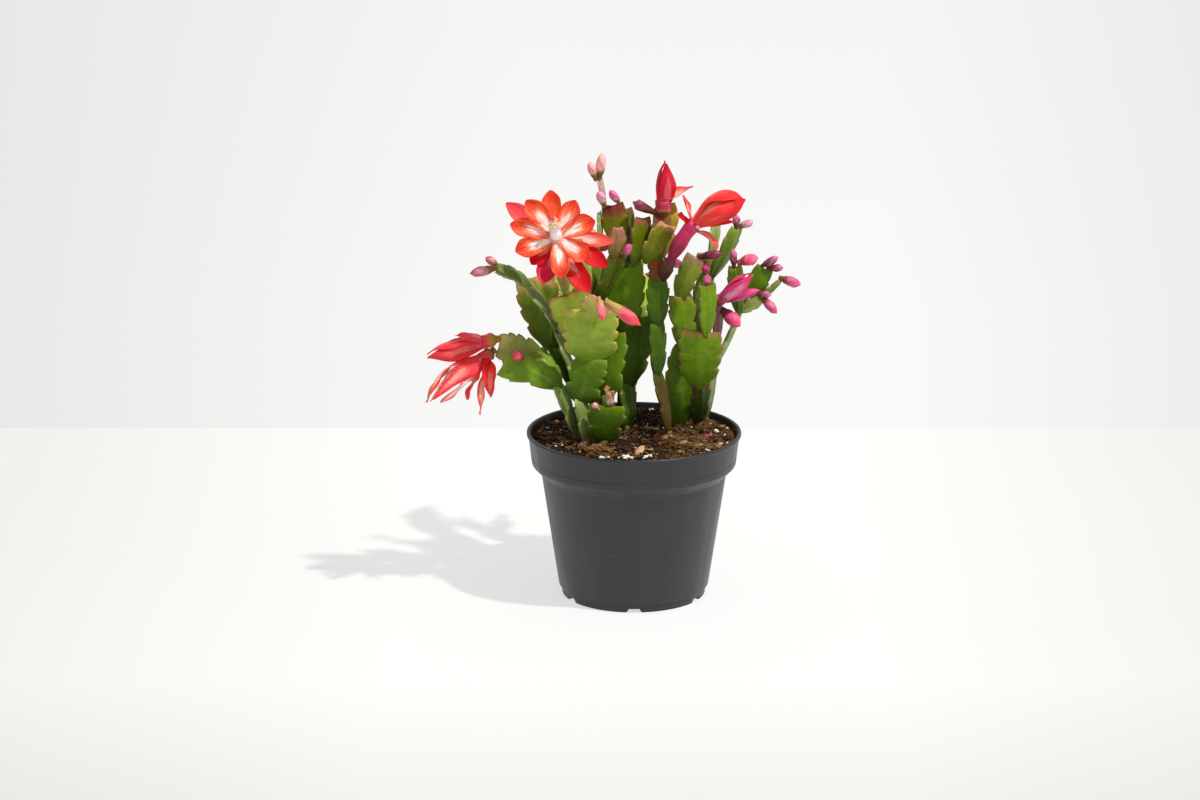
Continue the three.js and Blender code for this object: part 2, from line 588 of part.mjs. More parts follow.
// Grows one item and all that springs from it. Pads go into the stem; blooms and buds are their own meshes.
function grow(item, from, stemSolids) {
  if (item.kind === "bud") {
    buds += 1;
    plant.add(meshOf(`bud_${String(buds).padStart(2, "0")}`, budSolid(from, item, buds), budPink));
  } else if (item.kind === "bloom") {
    const material = item.name === "dried_flower" ? dryBrown : petalRed;
    plant.add(meshOf(item.name, bloomSolid(from, item), material));
  } else {
    pads += 1;
    stemSolids.push(padSolid(from, item, pads));
    for (const next of item.grows) grow(next, seatOn(from, item, next), stemSolids);
  }
}

plant.add(meshOf("pot", potSolid(), potPlastic));
plant.add(meshOf("soil", soilSolid(stems.map(([, place]) => place)), soilBrown));
for (const [name, [x, y], first] of stems) {
  const top = soilTop(x, y);
  const [foot, collar] = [top - root.depth, top + 2.9].map((z) => new THREE.Vector3(x, y, z));
  const ends = [[0, root.radius * 0.8], [1, root.radius]];
  const solids = [roundSolid(new THREE.LineCurve3(foot, collar), ends, root.sides)];
  grow(first, new THREE.Vector3(x, y, top + 1.8), solids);
  plant.add(meshOf(name, fuse(solids), greenSkin));
}

export default plant;
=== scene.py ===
import math
import bpy
import bmesh
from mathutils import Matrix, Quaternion, Vector, noise


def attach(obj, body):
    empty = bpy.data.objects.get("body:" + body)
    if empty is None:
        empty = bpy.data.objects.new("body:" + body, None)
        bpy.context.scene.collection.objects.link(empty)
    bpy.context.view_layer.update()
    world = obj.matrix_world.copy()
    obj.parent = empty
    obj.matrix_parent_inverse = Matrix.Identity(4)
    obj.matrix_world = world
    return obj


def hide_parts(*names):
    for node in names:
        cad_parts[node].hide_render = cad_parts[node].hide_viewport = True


# The looks of a potted christmas cactus. Shapes are worked out in millimetres and scaled to metres at the end.
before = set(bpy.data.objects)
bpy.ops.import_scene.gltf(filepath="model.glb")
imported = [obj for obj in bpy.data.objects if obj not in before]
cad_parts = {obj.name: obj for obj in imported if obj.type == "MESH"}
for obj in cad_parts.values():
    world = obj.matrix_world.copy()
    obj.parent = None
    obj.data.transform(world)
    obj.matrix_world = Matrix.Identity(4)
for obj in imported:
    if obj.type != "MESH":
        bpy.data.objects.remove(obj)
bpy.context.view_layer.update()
print("frame loaded,", len(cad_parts), "solids")

mm = 0.001
degree = math.pi / 180
fullTurn = 2 * math.pi
anyTurn = 6.28  # the range of a turn that is picked by wobble
goldenTurn = 2.39996


def paint(code):  # "#rrggbb" as a linear colour
    parts = [int(code[i:i + 2], 16) / 255 for i in (1, 3, 5)]
    return tuple(p / 12.92 if p <= 0.04045 else ((p + 0.055) / 1.055) ** 2.4 for p in parts) + (1,)


def paints(codes):
    return [paint(code) for code in codes]


def mixed(a, b, share):
    share = min(max(share, 0), 1)
    return tuple(p + (q - p) * share for p, q in zip(a, b))


def ramp(low, high, value):  # 0 below low, 1 above high, smooth between
    share = min(max((value - low) / (high - low), 0), 1)
    return share * share * (3 - 2 * share)


def wobble(n, k):  # a repeatable number from 0 to 1 for piece n and choice k
    s = math.sin(n * 12.9898 + k * 78.233) * 43758.5453
    return s - math.floor(s)


def pick(limits, n, k, power=1):  # a number from the first limit up, by at most the second
    return limits[0] + limits[1] * wobble(n, k) ** power


def through(values, share):  # a smooth line through evenly spaced values
    place = min(max(share, 0), 1) * (len(values) - 1)
    i = min(int(place), len(values) - 2)
    f = place - i
    a, b, c, d = (values[min(max(k, 0), len(values) - 1)] for k in (i - 1, i, i + 1, i + 2))
    bend = a * 2 - b * 5 + c * 4 - d
    twist = b * 3 - a - c * 3 + d
    return b + (c - a) * (0.5 * f) + bend * (0.5 * f * f) + twist * (0.5 * f ** 3)


def profileAt(profile, share):  # the size at a share, smooth through a list of [share, size]
    last = len(profile) - 1
    i = 0
    while i < last - 1 and share > profile[i + 1][0]:
        i += 1
    slopes = []
    for k in (i, i + 1):
        (s0, v0), (s1, v1) = profile[max(k - 1, 0)], profile[min(k + 1, last)]
        slopes.append((v1 - v0) / (s1 - s0))
    (s0, v0), (s1, v1) = profile[i], profile[i + 1]
    h = s1 - s0
    f = (share - s0) / h
    start = (2 * f ** 3 - 3 * f ** 2 + 1) * v0 + (f ** 3 - 2 * f ** 2 + f) * h * slopes[0]
    return start + (3 * f ** 2 - 2 * f ** 3) * v1 + (f ** 3 - f ** 2) * h * slopes[1]


def directions(lean, toward, face=0):  # along a pad, across it, and out of its front face
    a, b = lean * degree, toward * degree
    along = Vector((math.sin(a) * math.cos(b), -math.sin(b), math.cos(a) * math.cos(b)))
    across = Vector((math.cos(a), 0, -math.sin(a)))
    across.rotate(Quaternion(along, face * degree))
    return along, across, across.cross(along)


# Every piece carries these on its points: places along and across, and the tints that its finish mixes.
numberLayers = ("along", "across", "edge", "pale", "seed")
tintLayers = ("skin", "heart", "rim")


def put(tree, kind, settings=None, inputs=None):
    node = tree.nodes.new(kind)
    for key, value in (settings or {}).items():
        setattr(node, key, value)
    for key, value in (inputs or {}).items():
        if isinstance(value, bpy.types.NodeSocket):
            tree.links.new(value, node.inputs[key])
        else:
            node.inputs[key].default_value = value
    return node


def blendTint(tree, factor, a, b, mode="MIX"):
    return put(tree, "ShaderNodeMix", {"data_type": "RGBA", "blend_type": mode}, {0: factor, 6: a, 7: b}).outputs[2]


def sums(tree, operation, a, b=0.0, clamp=False):
    return put(tree, "ShaderNodeMath", {"operation": operation, "use_clamp": clamp}, {0: a, 1: b}).outputs[0]


def attribute(tree, name, output="Fac"):
    return put(tree, "ShaderNodeAttribute", {"attribute_name": name}).outputs[output]


def noiseOf(tree, place, scale, detail=3.0, roughness=0.55):
    return put(tree, "ShaderNodeTexNoise", None, {
        "Vector": place, "Scale": scale, "Detail": detail, "Roughness": roughness}).outputs[0]


def remap(tree, value, low, high, toLow=0.0, toHigh=1.0):
    return put(tree, "ShaderNodeMapRange", None, {
        "Value": value, "From Min": low, "From Max": high, "To Min": toLow, "To Max": toHigh}).outputs[0]


def uneven(tree, place, scale, low, high, toLow, toHigh):  # noise between two limits, spread over two others
    return remap(tree, noiseOf(tree, place, scale), low, high, toLow, toHigh)


def newGroup(name, inputs, outputs):  # a node group, what it is given and what it gives
    group = bpy.data.node_groups.new(name, "ShaderNodeTree")
    for label, kind, *value in inputs:
        socket = group.interface.new_socket(label, in_out="INPUT", socket_type="NodeSocket" + kind)
        if value:
            socket.default_value = value[0]
    for label, kind in outputs:
        group.interface.new_socket(label, in_out="OUTPUT", socket_type="NodeSocket" + kind)
    return group, group.nodes.new("NodeGroupInput").outputs, group.nodes.new("NodeGroupOutput").inputs


def makePatchyTint():  # noise patches of one tint over another
    group, given, gives = newGroup(
        "patchyTint",
        [("Tint", "Color"), ("Patch", "Color"), ("Place", "Vector"), ("Size", "Float", 200.0), ("Low", "Float", 0.4),
         ("High", "Float", 0.7), ("Strength", "Float", 0.5)],
        [("Tint", "Color")],
    )
    grain = noiseOf(group, given["Place"], given["Size"], 3.0, 0.6)
    mask = sums(group, "MULTIPLY", remap(group, grain, given["Low"], given["High"]), given["Strength"], clamp=True)
    group.links.new(blendTint(group, mask, given["Tint"], given["Patch"]), gives["Tint"])
    return group


def makeStreaks():  # fine lines that run along a petal, bud or pad, over a soft mask
    group, given, gives = newGroup(
        "streaks",
        [("Tint", "Color"), ("Line", "Color"), ("Along", "Float", 0.0), ("Across", "Float", 0.0),
         ("Seed", "Float", 0.0), ("Count", "Float", 7.0), ("Mask", "Float", 0.5), ("Break", "Float", 1.0)],
        [("Tint", "Color"), ("Height", "Float")],
    )
    wide = sums(group, "MULTIPLY", given["Across"], given["Count"])
    long = sums(group, "MULTIPLY", given["Along"], 1.7)
    place = put(group, "ShaderNodeCombineXYZ", None, {0: wide, 1: long, 2: given["Seed"]}).outputs[0]
    lines = noiseOf(group, place, 1.0, 4.0, 0.62)
    broken = sums(group, "MULTIPLY", sums(group, "SUBTRACT", lines, 0.5), given["Break"])
    mask = sums(group, "ADD", given["Mask"], sums(group, "MULTIPLY", broken, 2.0), clamp=True)
    faded = sums(group, "MULTIPLY", given["Mask"], 2.4, clamp=True)
    strength = sums(group, "MULTIPLY", mask, faded, clamp=True)
    group.links.new(blendTint(group, strength, given["Tint"], given["Line"]), gives["Tint"])
    group.links.new(lines, gives["Height"])
    return group


patchyTint = makePatchyTint()
streaks = makeStreaks()


def patched(tree, tint, patch, place, size, low, high, strength):
    return put(tree, "ShaderNodeGroup", {"node_tree": patchyTint}, {
        "Tint": tint, "Patch": patch, "Place": place, "Size": size, "Low": low, "High": high,
        "Strength": strength}).outputs[0]


def streaked(tree, tint, line, mask, count, broken):  # the tint with its lines, and the lines' height
    where = {name.capitalize(): attribute(tree, name) for name in ("along", "across", "seed")}
    node = put(tree, "ShaderNodeGroup", {"node_tree": streaks}, {
        "Tint": tint, "Line": line, "Mask": mask, "Count": count, "Break": broken, **where})
    return node.outputs["Tint"], node.outputs["Height"]


def newFinish(name, values):  # a material, its tree, its Principled shader and object coordinates
    material = bpy.data.materials.new(name)
    material.use_nodes = True
    tree = material.node_tree
    shader = tree.nodes["Principled BSDF"]
    for socket, value in values.items():
        shader.inputs[socket].default_value = value
    return material, tree, shader, put(tree, "ShaderNodeTexCoord").outputs["Object"]


def connect(tree, shader, tint, place, look, height=None):  # a finish's tint, worn roughness and relief
    tree.links.new(tint, shader.inputs["Base Color"])
    if "worn" in look:
        tree.links.new(uneven(tree, place, *look["worn"]), shader.inputs["Roughness"])
    if height is not None:
        strength, distance = look["relief"]
        bump = put(tree, "ShaderNodeBump", None, {"Strength": strength, "Distance": distance, "Height": height})
        tree.links.new(bump.outputs[0], shader.inputs["Normal"])


# The finishes. shader has plain values of the shader's sockets. A patch is a tint, then the size, start, end and
# strength of its noise. streaks and edges are how many lines and how broken they are, and edges without them are
# plain. worn and other uneven values are a noise's size, its limits and what they turn into. relief is its strength
# and distance.
padFinish = {
    "shader": {"Roughness": 0.36, "Subsurface Weight": 0.12, "Subsurface Radius": (0.5, 1.0, 0.1),
               "Subsurface Scale": 0.002, "Specular IOR Level": 0.36, "Specular Tint": (0.72, 0.86, 0.3, 1)},
    "patches": [((0.62, 0.68, 0.5, 1), 150, 0.42, 0.7, 0.75), ((1.35, 1.25, 1.05, 1), 345, 0.5, 0.78, 0.6)],
    "streaks": (9, 0.7), "specks": 620, "speckSize": (0.1, 0.24), "speckPlaces": (260, 0.56, 0.68, 0, 0.4),
    "pits": -0.25, "ragged": (700, 0.3, 0.7, -0.3, 0.3), "worn": (340, 0.3, 0.7, 0.28, 0.52), "grain": 420,
    "relief": (0.4, 0.0008),
}
linedFinishes = {
    "petalSilk": {
        "shader": {"Roughness": 0.5, "Subsurface Weight": 0.4, "Subsurface Radius": (1.0, 0.2, 0.14),
                   "Subsurface Scale": 0.003, "Specular IOR Level": 0.25, "Specular Tint": (1, 0.62, 0.6, 1)},
        "streaks": (9, 1.9), "edges": (12.6, 1.7), "deep": (0.9, 0.48, 0.5, 1), "patches": (260, 0.48, 0.75, 0.5),
        "worn": (420, 0.3, 0.7, 0.42, 0.6), "grain": 900, "grainShare": 0.3, "relief": (0.3, 0.0005)},
    "budSkin": {
        "shader": {"Roughness": 0.36, "Subsurface Weight": 0.2, "Subsurface Radius": (1.0, 0.3, 0.25),
                   "Subsurface Scale": 0.002, "Specular IOR Level": 0.35, "Specular Tint": (1, 0.7, 0.75, 1)},
        "streaks": (9, 0.8), "edges": None, "deep": (0.72, 0.6, 0.62, 1), "patches": (420, 0.5, 0.75, 0.55),
        "worn": (500, 0.3, 0.7, 0.3, 0.5), "grain": 1200, "grainShare": 1, "relief": (0.3, 0.0004)},
    "dryPaper": {
        "shader": {"Roughness": 0.85, "Subsurface Weight": 0.08, "Subsurface Scale": 0.001},
        "streaks": (14, 1.6), "pale": 0.45, "patches": (700, 0.5, 0.66, 0.8), "grain": 900, "grainShare": 1,
        "relief": (0.8, 0.0008)},
}
# In these a tint is a code or one that the pieces carry, and the noise of a patch may be stretched.
dappledFinishes = {
    "bristle": {"shader": {"Roughness": 0.7}, "tint": "#7a5a34", "patches": [("#c9b083", None, 800, 0.4, 0.6, 0.9)]},
    "stamen": {
        "shader": {"Roughness": 0.5, "Subsurface Weight": 0.2, "Subsurface Radius": (1.0, 0.5, 0.5),
                   "Subsurface Scale": 0.001},
        "tint": "skin", "patches": [("heart", None, 900, 0.45, 0.7, 0.5)]},
    "soilMix": {
        "shader": {"Roughness": 0.95, "Specular IOR Level": 0.22}, "tint": "skin",
        "patches": [("heart", None, 330, 0.45, 0.62, 0.9), ("rim", None, 858, 0.55, 0.7, 0.8)],
        "grain": (660, 5.0, 0.7), "relief": (1.0, 0.0015)},
    "soilCrumb": {
        "shader": {"Roughness": 0.9, "Specular IOR Level": 0.22}, "tint": "skin",
        "patches": [("heart", None, 500, 0.45, 0.62, 0.9), ("rim", None, 1300, 0.55, 0.7, 0.8)],
        "grain": (1000, 5.0, 0.7), "relief": (0.8, 0.001)},
    "potPlastic": {
        "shader": {"Roughness": 0.44, "Specular IOR Level": 0.6}, "tint": "#17191f",
        "patches": [("#222329", (1.0, 1.0, 0.12), 90, 0.42, 0.75, 0.35), ("#77777c", None, 900, 0.66, 0.74, 0.15),
                    ("#77777c", (0.35, 0.35, 3.2), 150, 0.68, 0.8, 0.12)],
        # inside is a darker tint for the pot's inner wall and floor: painted shade in the pot's hollow.
        "inside": "#101012", "worn": (140, 0.3, 0.7, 0.34, 0.48), "wornStretch": (1.0, 1.0, 0.12),
        "grain": (1500, 2.0), "relief": (0.06, 0.0004)},
}


def makePadSkin():
    look = padFinish
    material, tree, shader, place = newFinish("padSkin", look["shader"])
    skin, heart, rim = (attribute(tree, name, "Color") for name in tintLayers)
    tint = skin
    for times, *patch in look["patches"]:
        tint = patched(tree, tint, blendTint(tree, 1.0, skin, times, "MULTIPLY"), place, *patch)
    tint, _ = streaked(tree, tint, heart, attribute(tree, "pale"), *look["streaks"])
    cells = put(tree, "ShaderNodeTexVoronoi", None, {"Vector": place, "Scale": look["specks"], "Randomness": 1.0})
    dots = remap(tree, cells.outputs["Distance"], *look["speckSize"], 1, 0)
    few = uneven(tree, place, *look["speckPlaces"])
    tint = blendTint(tree, sums(tree, "MULTIPLY", dots, few), tint, heart)
    edge = attribute(tree, "edge")
    ragged = sums(tree, "MULTIPLY", uneven(tree, place, *look["ragged"]), edge)
    tint = blendTint(tree, sums(tree, "ADD", edge, ragged, clamp=True), tint, rim)
    height = sums(tree, "ADD", sums(tree, "MULTIPLY", dots, look["pits"]), noiseOf(tree, place, look["grain"]))
    connect(tree, shader, tint, place, look, height)
    return material


def makeLined(name):  # petals, buds and dry remains
    look = linedFinishes[name]
    material, tree, shader, place = newFinish(name, look["shader"])
    skin, heart, rim = (attribute(tree, layer, "Color") for layer in tintLayers)
    pale = look["pale"] if "pale" in look else attribute(tree, "pale")
    tint, lines = streaked(tree, skin, heart, pale, *look["streaks"])
    if look.get("edges"):
        tint, _ = streaked(tree, tint, rim, attribute(tree, "edge"), *look["edges"])
    elif "edges" in look:
        tint = blendTint(tree, attribute(tree, "edge"), tint, rim)
    patch = blendTint(tree, 1.0, tint, look["deep"], "MULTIPLY") if "deep" in look else rim
    grain = sums(tree, "MULTIPLY", noiseOf(tree, place, look["grain"]), look["grainShare"])
    connect(tree, shader, patched(tree, tint, patch, place, *look["patches"]), place, look,
            sums(tree, "ADD", lines, grain))
    return material


def makeDappled(name):  # bristles, stamens, soil and pot
    look = dappledFinishes[name]
    material, tree, shader, place = newFinish(name, look["shader"])

    def tintOf(source):
        return paint(source) if source[0] == "#" else attribute(tree, source, "Color")

    def stretched(scale):
        return put(tree, "ShaderNodeMapping", None, {"Vector": place, "Scale": scale}).outputs[0] if scale else place

    tint = tintOf(look["tint"])
    for source, scale, *patch in look["patches"]:
        tint = patched(tree, tint, tintOf(source), stretched(scale), *patch)
    # The inside tint paints shade on the points whose edge layer marks the pot's hollow.
    if "inside" in look:
        tint = blendTint(tree, attribute(tree, "edge"), tint, paint(look["inside"]))
    height = noiseOf(tree, place, *look["grain"]) if "grain" in look else None
    connect(tree, shader, tint, stretched(look.get("wornStretch")), look, height)
    return material


finishes = {"padSkin": makePadSkin(), **{name: makeLined(name) for name in linedFinishes},
            **{name: makeDappled(name) for name in dappledFinishes}}
print("finishes made")


def startPiece():
    bm = bmesh.new()
    layers = {name: bm.verts.layers.float.new(name) for name in numberLayers}
    layers.update({name: bm.verts.layers.float_color.new(name) for name in tintLayers})
    return {"bm": bm, "layers": layers}


def mark(piece, vert, tints=None, **values):  # values of a point's layers, tints as skin, heart and rim
    for name, value in values.items():
        vert[piece["layers"][name]] = value
    for name, tint in zip(tintLayers, tints or ()):
        vert[piece["layers"][name]] = tint


forms = {}  # plain shapes, made once and copied into the pieces


def makeSheet(bm, columns, rows):
    bmesh.ops.create_grid(bm, x_segments=columns, y_segments=rows, size=1)
    bmesh.ops.solidify(bm, geom=bm.faces[:], thickness=-0.2)


def makeRod(bm, sides, steps):
    bmesh.ops.create_cone(bm, cap_ends=True, segments=sides, radius1=1, radius2=1, depth=2)
    uprights = [edge for edge in bm.edges if abs(edge.verts[0].co.z - edge.verts[1].co.z) > 1]
    bmesh.ops.subdivide_edges(bm, edges=uprights, cuts=steps - 1, use_grid_fill=True)


def makeBall(bm, sides, rings):
    bmesh.ops.create_uvsphere(bm, u_segments=sides, v_segments=rings, radius=1)


def makeStone(bm, detail):
    bmesh.ops.create_icosphere(bm, subdivisions=detail, radius=1)


def makeTurning(bm, outline, steps):  # an outline of (radius, height) turned around the pot's axis
    verts = [bm.verts.new((radius, 0, height)) for radius, height in outline]
    edges = [bm.edges.new(pair) for pair in zip(verts, verts[1:])]
    bmesh.ops.spin(bm, geom=verts + edges, cent=(0, 0, 0), axis=(0, 0, 1), angle=fullTurn, steps=steps, use_merge=True)
    bmesh.ops.remove_doubles(bm, verts=bm.verts, dist=0.001)


def stamp(piece, maker, *sizes):  # the points of a fresh copy of a form
    key = (maker.__name__, sizes)
    if key not in forms:
        model = bmesh.new()
        maker(model, *sizes)
        forms[key] = bpy.data.meshes.new("form")
        model.to_mesh(forms[key])
        model.free()
    bm = piece["bm"]
    first = len(bm.verts)
    bm.from_mesh(forms[key])
    bm.verts.ensure_lookup_table()
    return bm.verts[first:]


def useSecond(verts):  # the piece's second finish on these points' faces
    for face in {face for vert in verts for face in vert.link_faces}:
        face.material_index = 1


def addToScene(name, data):
    made = bpy.data.objects.new(name, data)
    bpy.context.scene.collection.objects.link(made)
    return made


def addObject(bm, name, unit=mm):
    bmesh.ops.scale(bm, vec=(unit, unit, unit), verts=bm.verts)
    mesh = bpy.data.meshes.new(name)
    bm.to_mesh(mesh)
    bm.free()
    return addToScene(name, mesh)


def finishPiece(piece, name, node, slotName, *names):
    bm = piece["bm"]
    bmesh.ops.recalc_face_normals(bm, faces=bm.faces)
    for face in bm.faces:
        face.smooth = True
    made = addObject(bm, name)
    for finish in names:
        made.data.materials.append(finishes[finish])
    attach(made, "root")
    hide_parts(node)
    return made


def sheet(piece, columns, rows):  # a thin closed sheet: each point comes with u across, a share along, and its side
    fresh = stamp(piece, makeSheet, columns, rows)
    return [(vert, vert.co.x, (vert.co.y + 1) / 2, 1 if vert.co.z > 0.1 else -1) for vert in fresh]


def bezier(path, share):
    a, b, c = path
    point = a * (1 - share) ** 2 + b * 2 * share * (1 - share) + c * share ** 2
    return point, ((b - a) * (1 - share) + (c - b) * share).normalized()


def roundAbout(tangent):  # two directions square to a path, as the solids have them
    u = tangent.cross(Vector((0.31, 0.9, 0.17))).normalized()
    return u, tangent.cross(u)


def roundForm(piece, path, sizeAt, sides, rings, dress):  # a closed round body along a path
    fresh = stamp(piece, makeBall, sides, rings)
    for vert in fresh:
        turn = math.atan2(vert.co.y, vert.co.x) % fullTurn
        ring = round((1 - math.acos(max(-1, min(1, vert.co.z))) / math.pi) * rings)
        share = min(max((ring - 1) / (rings - 2), 0), 1)
        point, tangent = bezier(path, share)
        u, v = roundAbout(tangent)
        radius = 0 if ring in (0, rings) else sizeAt(share, turn)
        vert.co = point + u * radius * math.cos(turn) + v * radius * math.sin(turn)
        dress(vert, share, turn)
    return fresh


threadTaper = 0.65


def thread(piece, start, end, sag, radius, tints, sides=3, steps=4, seed=0):  # a fine hair, filament or root
    lie = (end - start).normalized()
    u = lie.orthogonal().normalized()
    v = lie.cross(u)
    fresh = stamp(piece, makeRod, sides, steps)
    for vert in fresh:
        share = (vert.co.z + 1) / 2
        thin = radius * (1 - threadTaper * share ** 2)
        x, y = vert.co.x * thin, vert.co.y * thin
        vert.co = start.lerp(end, share) + sag * (4 * share * (1 - share)) + u * x + v * y
        mark(piece, vert, (tints[0], tints[1], tints[-1]), along=share, seed=seed)
    useSecond(fresh)


def lookTable(keys, rows):  # each look's values under their names
    return {name: {key: paint(value) if isinstance(value, str) else value for key, value in zip(keys, row)}
            for name, row in rows.items()}


# Pads. deep is the tint at the neck, base of the middle, top of the band under the cut tip, which is band of the
# length wide, rim of the teeth, and rib of the midrib. edge and ribs say how strongly rim and rib show.
padLooks = lookTable(("deep", "base", "top", "rim", "rib", "band", "edge", "ribs"), {
    "lime": ("#6e8e22", "#98b040", "#b2b84a", "#cf9464", "#b4c070", 0.12, 0.6, 0.35),
    "limePink": ("#9aa84a", "#a9ae52", "#cfb06a", "#e8838a", "#d8c88a", 0.3, 0.9, 0.3),
    "limeRust": ("#7d922c", "#90a03c", "#84402c", "#7a3a30", "#b0ba62", 0.1, 0.6, 0.3),
    "limeBrown": ("#66801c", "#7d8a30", "#96705a", "#7c5a42", "#a0ac58", 0.2, 0.55, 0.3),
    "limeBright": ("#527010", "#648212", "#6a7018", "#8a3f50", "#8aa038", 0.08, 0.4, 0.3),
    "leafMid": ("#3c5a12", "#62801f", "#7c9030", "#a58a52", "#9cb062", 0.15, 0.35, 0.5),
    "leafRust": ("#2c4808", "#587016", "#b59a58", "#a4504a", "#8ca050", 0.22, 0.7, 0.3),
    "leafRim": ("#4c6c0e", "#688816", "#94803a", "#94504c", "#8a9a50", 0.12, 0.6, 0.45),
    "leafLow": ("#2f4a0a", "#4c6a12", "#6a8222", "#8c9440", "#90a452", 0.12, 0.4, 0.4),
    "darkPlum": ("#3c1c18", "#54262a", "#6a2f38", "#5c2430", "#7c4048", 0.3, 0.5, 0.2),
    "oliveYellow": ("#5c6c14", "#847c1c", "#a4802c", "#a4683c", "#a89c48", 0.3, 0.5, 0.3),
    "leafDeep": ("#3a5404", "#56780a", "#607c14", "#8a7c3a", "#7e9648", 0.1, 0.35, 0.4),
    "deep": ("#243a0a", "#3a580c", "#4c6a10", "#6a5a2c", "#6a8440", 0.12, 0.4, 0.3),
    "deepShort": ("#1e3206", "#355004", "#566c06", "#8a7a3a", "#6a8440", 0.2, 0.4, 0.15),
    "darkest": ("#16260a", "#22380c", "#5a2038", "#6a2a42", "#4c6430", 0.16, 0.5, 0.3),
    "deepOlive": ("#2c400a", "#4a5c0c", "#5c4a14", "#7c4a2c", "#7c8a3c", 0.16, 0.5, 0.3),
    "maroonTop": ("#4a580a", "#6a6c0c", "#74262a", "#6c2028", "#8c8c30", 0.24, 0.6, 0.25),
    "rustTop": ("#41580a", "#606c0a", "#9c5044", "#a4604c", "#84903c", 0.14, 0.6, 0.3),
    "peachTop": ("#48600a", "#6c7410", "#c08468", "#c8846c", "#909a40", 0.12, 0.7, 0.3),
    "oliveHorn": ("#5c7428", "#8c9450", "#b8a468", "#6c4c34", "#b4ae74", 0.3, 0.55, 0.35),
    "oliveBrown": ("#505c10", "#6c6418", "#744030", "#6c4030", "#8c8440", 0.3, 0.5, 0.25),
    "brownPink": ("#6c6a24", "#86683c", "#a4685c", "#8c4c50", "#b48874", 0.4, 0.5, 0.25),
    "rust": ("#34400c", "#6c3c1c", "#843c28", "#6c2c24", "#8c6038", 0.4, 0.6, 0.2),
    "woody": ("#3c2812", "#44340f", "#3c4410", "#5c4022", "#8a6c44", 0.2, 0.7, 0.5),
    "stripGrey": ("#42551c", "#6a7c3c", "#7c8a48", "#a8b484", "#8ca060", 0.15, 0.5, 0.4),
    "stripPale": ("#70883c", "#90a458", "#a4ac68", "#b8b48c", "#b4c084", 0.15, 0.4, 0.4),
    "plum": ("#5c4c2c", "#74424a", "#84505c", "#9c6c74", "#9c7474", 0.3, 0.5, 0.3),
    "mauveStalk": ("#8c6c50", "#b48c8c", "#bc9890", "#a47880", "#d0b4b0", 0.2, 0.3, 0.4),
})

# Buds: the cup, the petals' lower part, their upper part, the light streaks, which are partly the petals' own pale
# lines and partly painted highlights, and the petals' edges.
budLooks = lookTable(("cup", "body", "tip", "line", "rim"), {
    "archTip": ("#84692c", "#c98a90", "#c2405a", "#e6bcc0", "#a83a54"),
    "redPink": ("#a04a44", "#cf4058", "#d23a50", "#e8828c", "#b02a44"),
    "frontPink": ("#b89858", "#e04a62", "#e6404c", "#f09a9c", "#c8283c"),
    "coral": ("#c8905c", "#e87480", "#e04a58", "#f0b4b0", "#d04a5c"),
    "blush": ("#b08c78", "#d49a90", "#dca49a", "#eccac4", "#b87870"),
    "salmon": ("#7c6a24", "#eaa8a2", "#f0a49c", "#f8dad6", "#e28c88"),
    "mauve": ("#8a7a48", "#e0a4b4", "#e08ca8", "#f4d4dc", "#c8809a"),
    "hotPink": ("#8c6c4c", "#dc6c9a", "#d24484", "#f0b0cc", "#b83a74"),
    "maroon": ("#5c3424", "#74323a", "#8a3c4c", "#a8646c", "#542030"),
    "maroonTip": ("#4a2420", "#6c2a3a", "#7c1c40", "#a8546c", "#542038"),
    "rosy": ("#7c4a3c", "#c85c7c", "#cc4478", "#e89cb4", "#a02c5c"),
    "brownTip": ("#5c3c30", "#843c48", "#c4648c", "#d8a0b4", "#7c3c4c"),
    "magenta": ("#7c3c48", "#d8447c", "#e0506c", "#f08ca8", "#b02c64"),
    "crimson": ("#6c2c34", "#b8286c", "#d8407c", "#e878a8", "#8c1c4c"),
    "pinkPetal": ("#a44c58", "#ee5080", "#ee5c78", "#f8a0b0", "#d42c60"),
})

# Petals. body is the petal, heart its pale middle, which reaches so far along it, and rim its edges and tip.
petalLooks = lookTable(("body", "heart", "rim", "reach", "wide", "edge"), {
    "sunlit": ("#fb7246", "#fff0ea", "#dc1e18", 0.8, 0.52, 0.9),
    "flame": ("#f8643a", "#fdc4a8", "#e22a18", 0.5, 0.4, 0.8),
    "rose": ("#f5505a", "#ff9c98", "#e2303c", 0.6, 0.35, 0.7),
    "paleRose": ("#fb7466", "#fdd4cc", "#ee2c30", 0.9, 0.6, 0.8),
    "crimson": ("#d41020", "#f6a898", "#b40612", 0.75, 0.34, 0.6),
    "pinkCrimson": ("#dc2450", "#f49cb4", "#c00c38", 0.7, 0.4, 0.6),
    "furledRed": ("#fb3c48", "#ff7068", "#e01c34", 0.95, 0.35, 0.4),
    "wiltRed": ("#fc4048", "#ffa090", "#e41c2c", 1.3, 0.5, 0.7),
    "wiltPale": ("#fc6860", "#ffe2da", "#e8323a", 1.6, 0.9, 0.5),
    "wiltSalmon": ("#fc5c50", "#ffc0b0", "#e41c28", 1.5, 0.75, 0.6),
    "spireRed": ("#d61a32", "#ee6474", "#b00a24", 0.9, 0.3, 0.5),
    "salmon": ("#f4786c", "#fcb8a8", "#e2202e", 0.9, 0.6, 0.9),
    "hood": ("#fc423c", "#ffa088", "#ee1826", 0.7, 0.42, 0.85),
    "brightRed": ("#f01422", "#fb5c50", "#dc0818", 0.7, 0.3, 0.5),
    # The spindle's pale heart is partly the petals' own colour and partly a painted highlight along each furled petal.
    "spindle": ("#f0427e", "#ff9cba", "#d42458", 0.95, 0.45, 0.6),
    "withered": ("#a06a38", "#c8945c", "#5c3c20", 0.9, 0.5, 0.6),
})

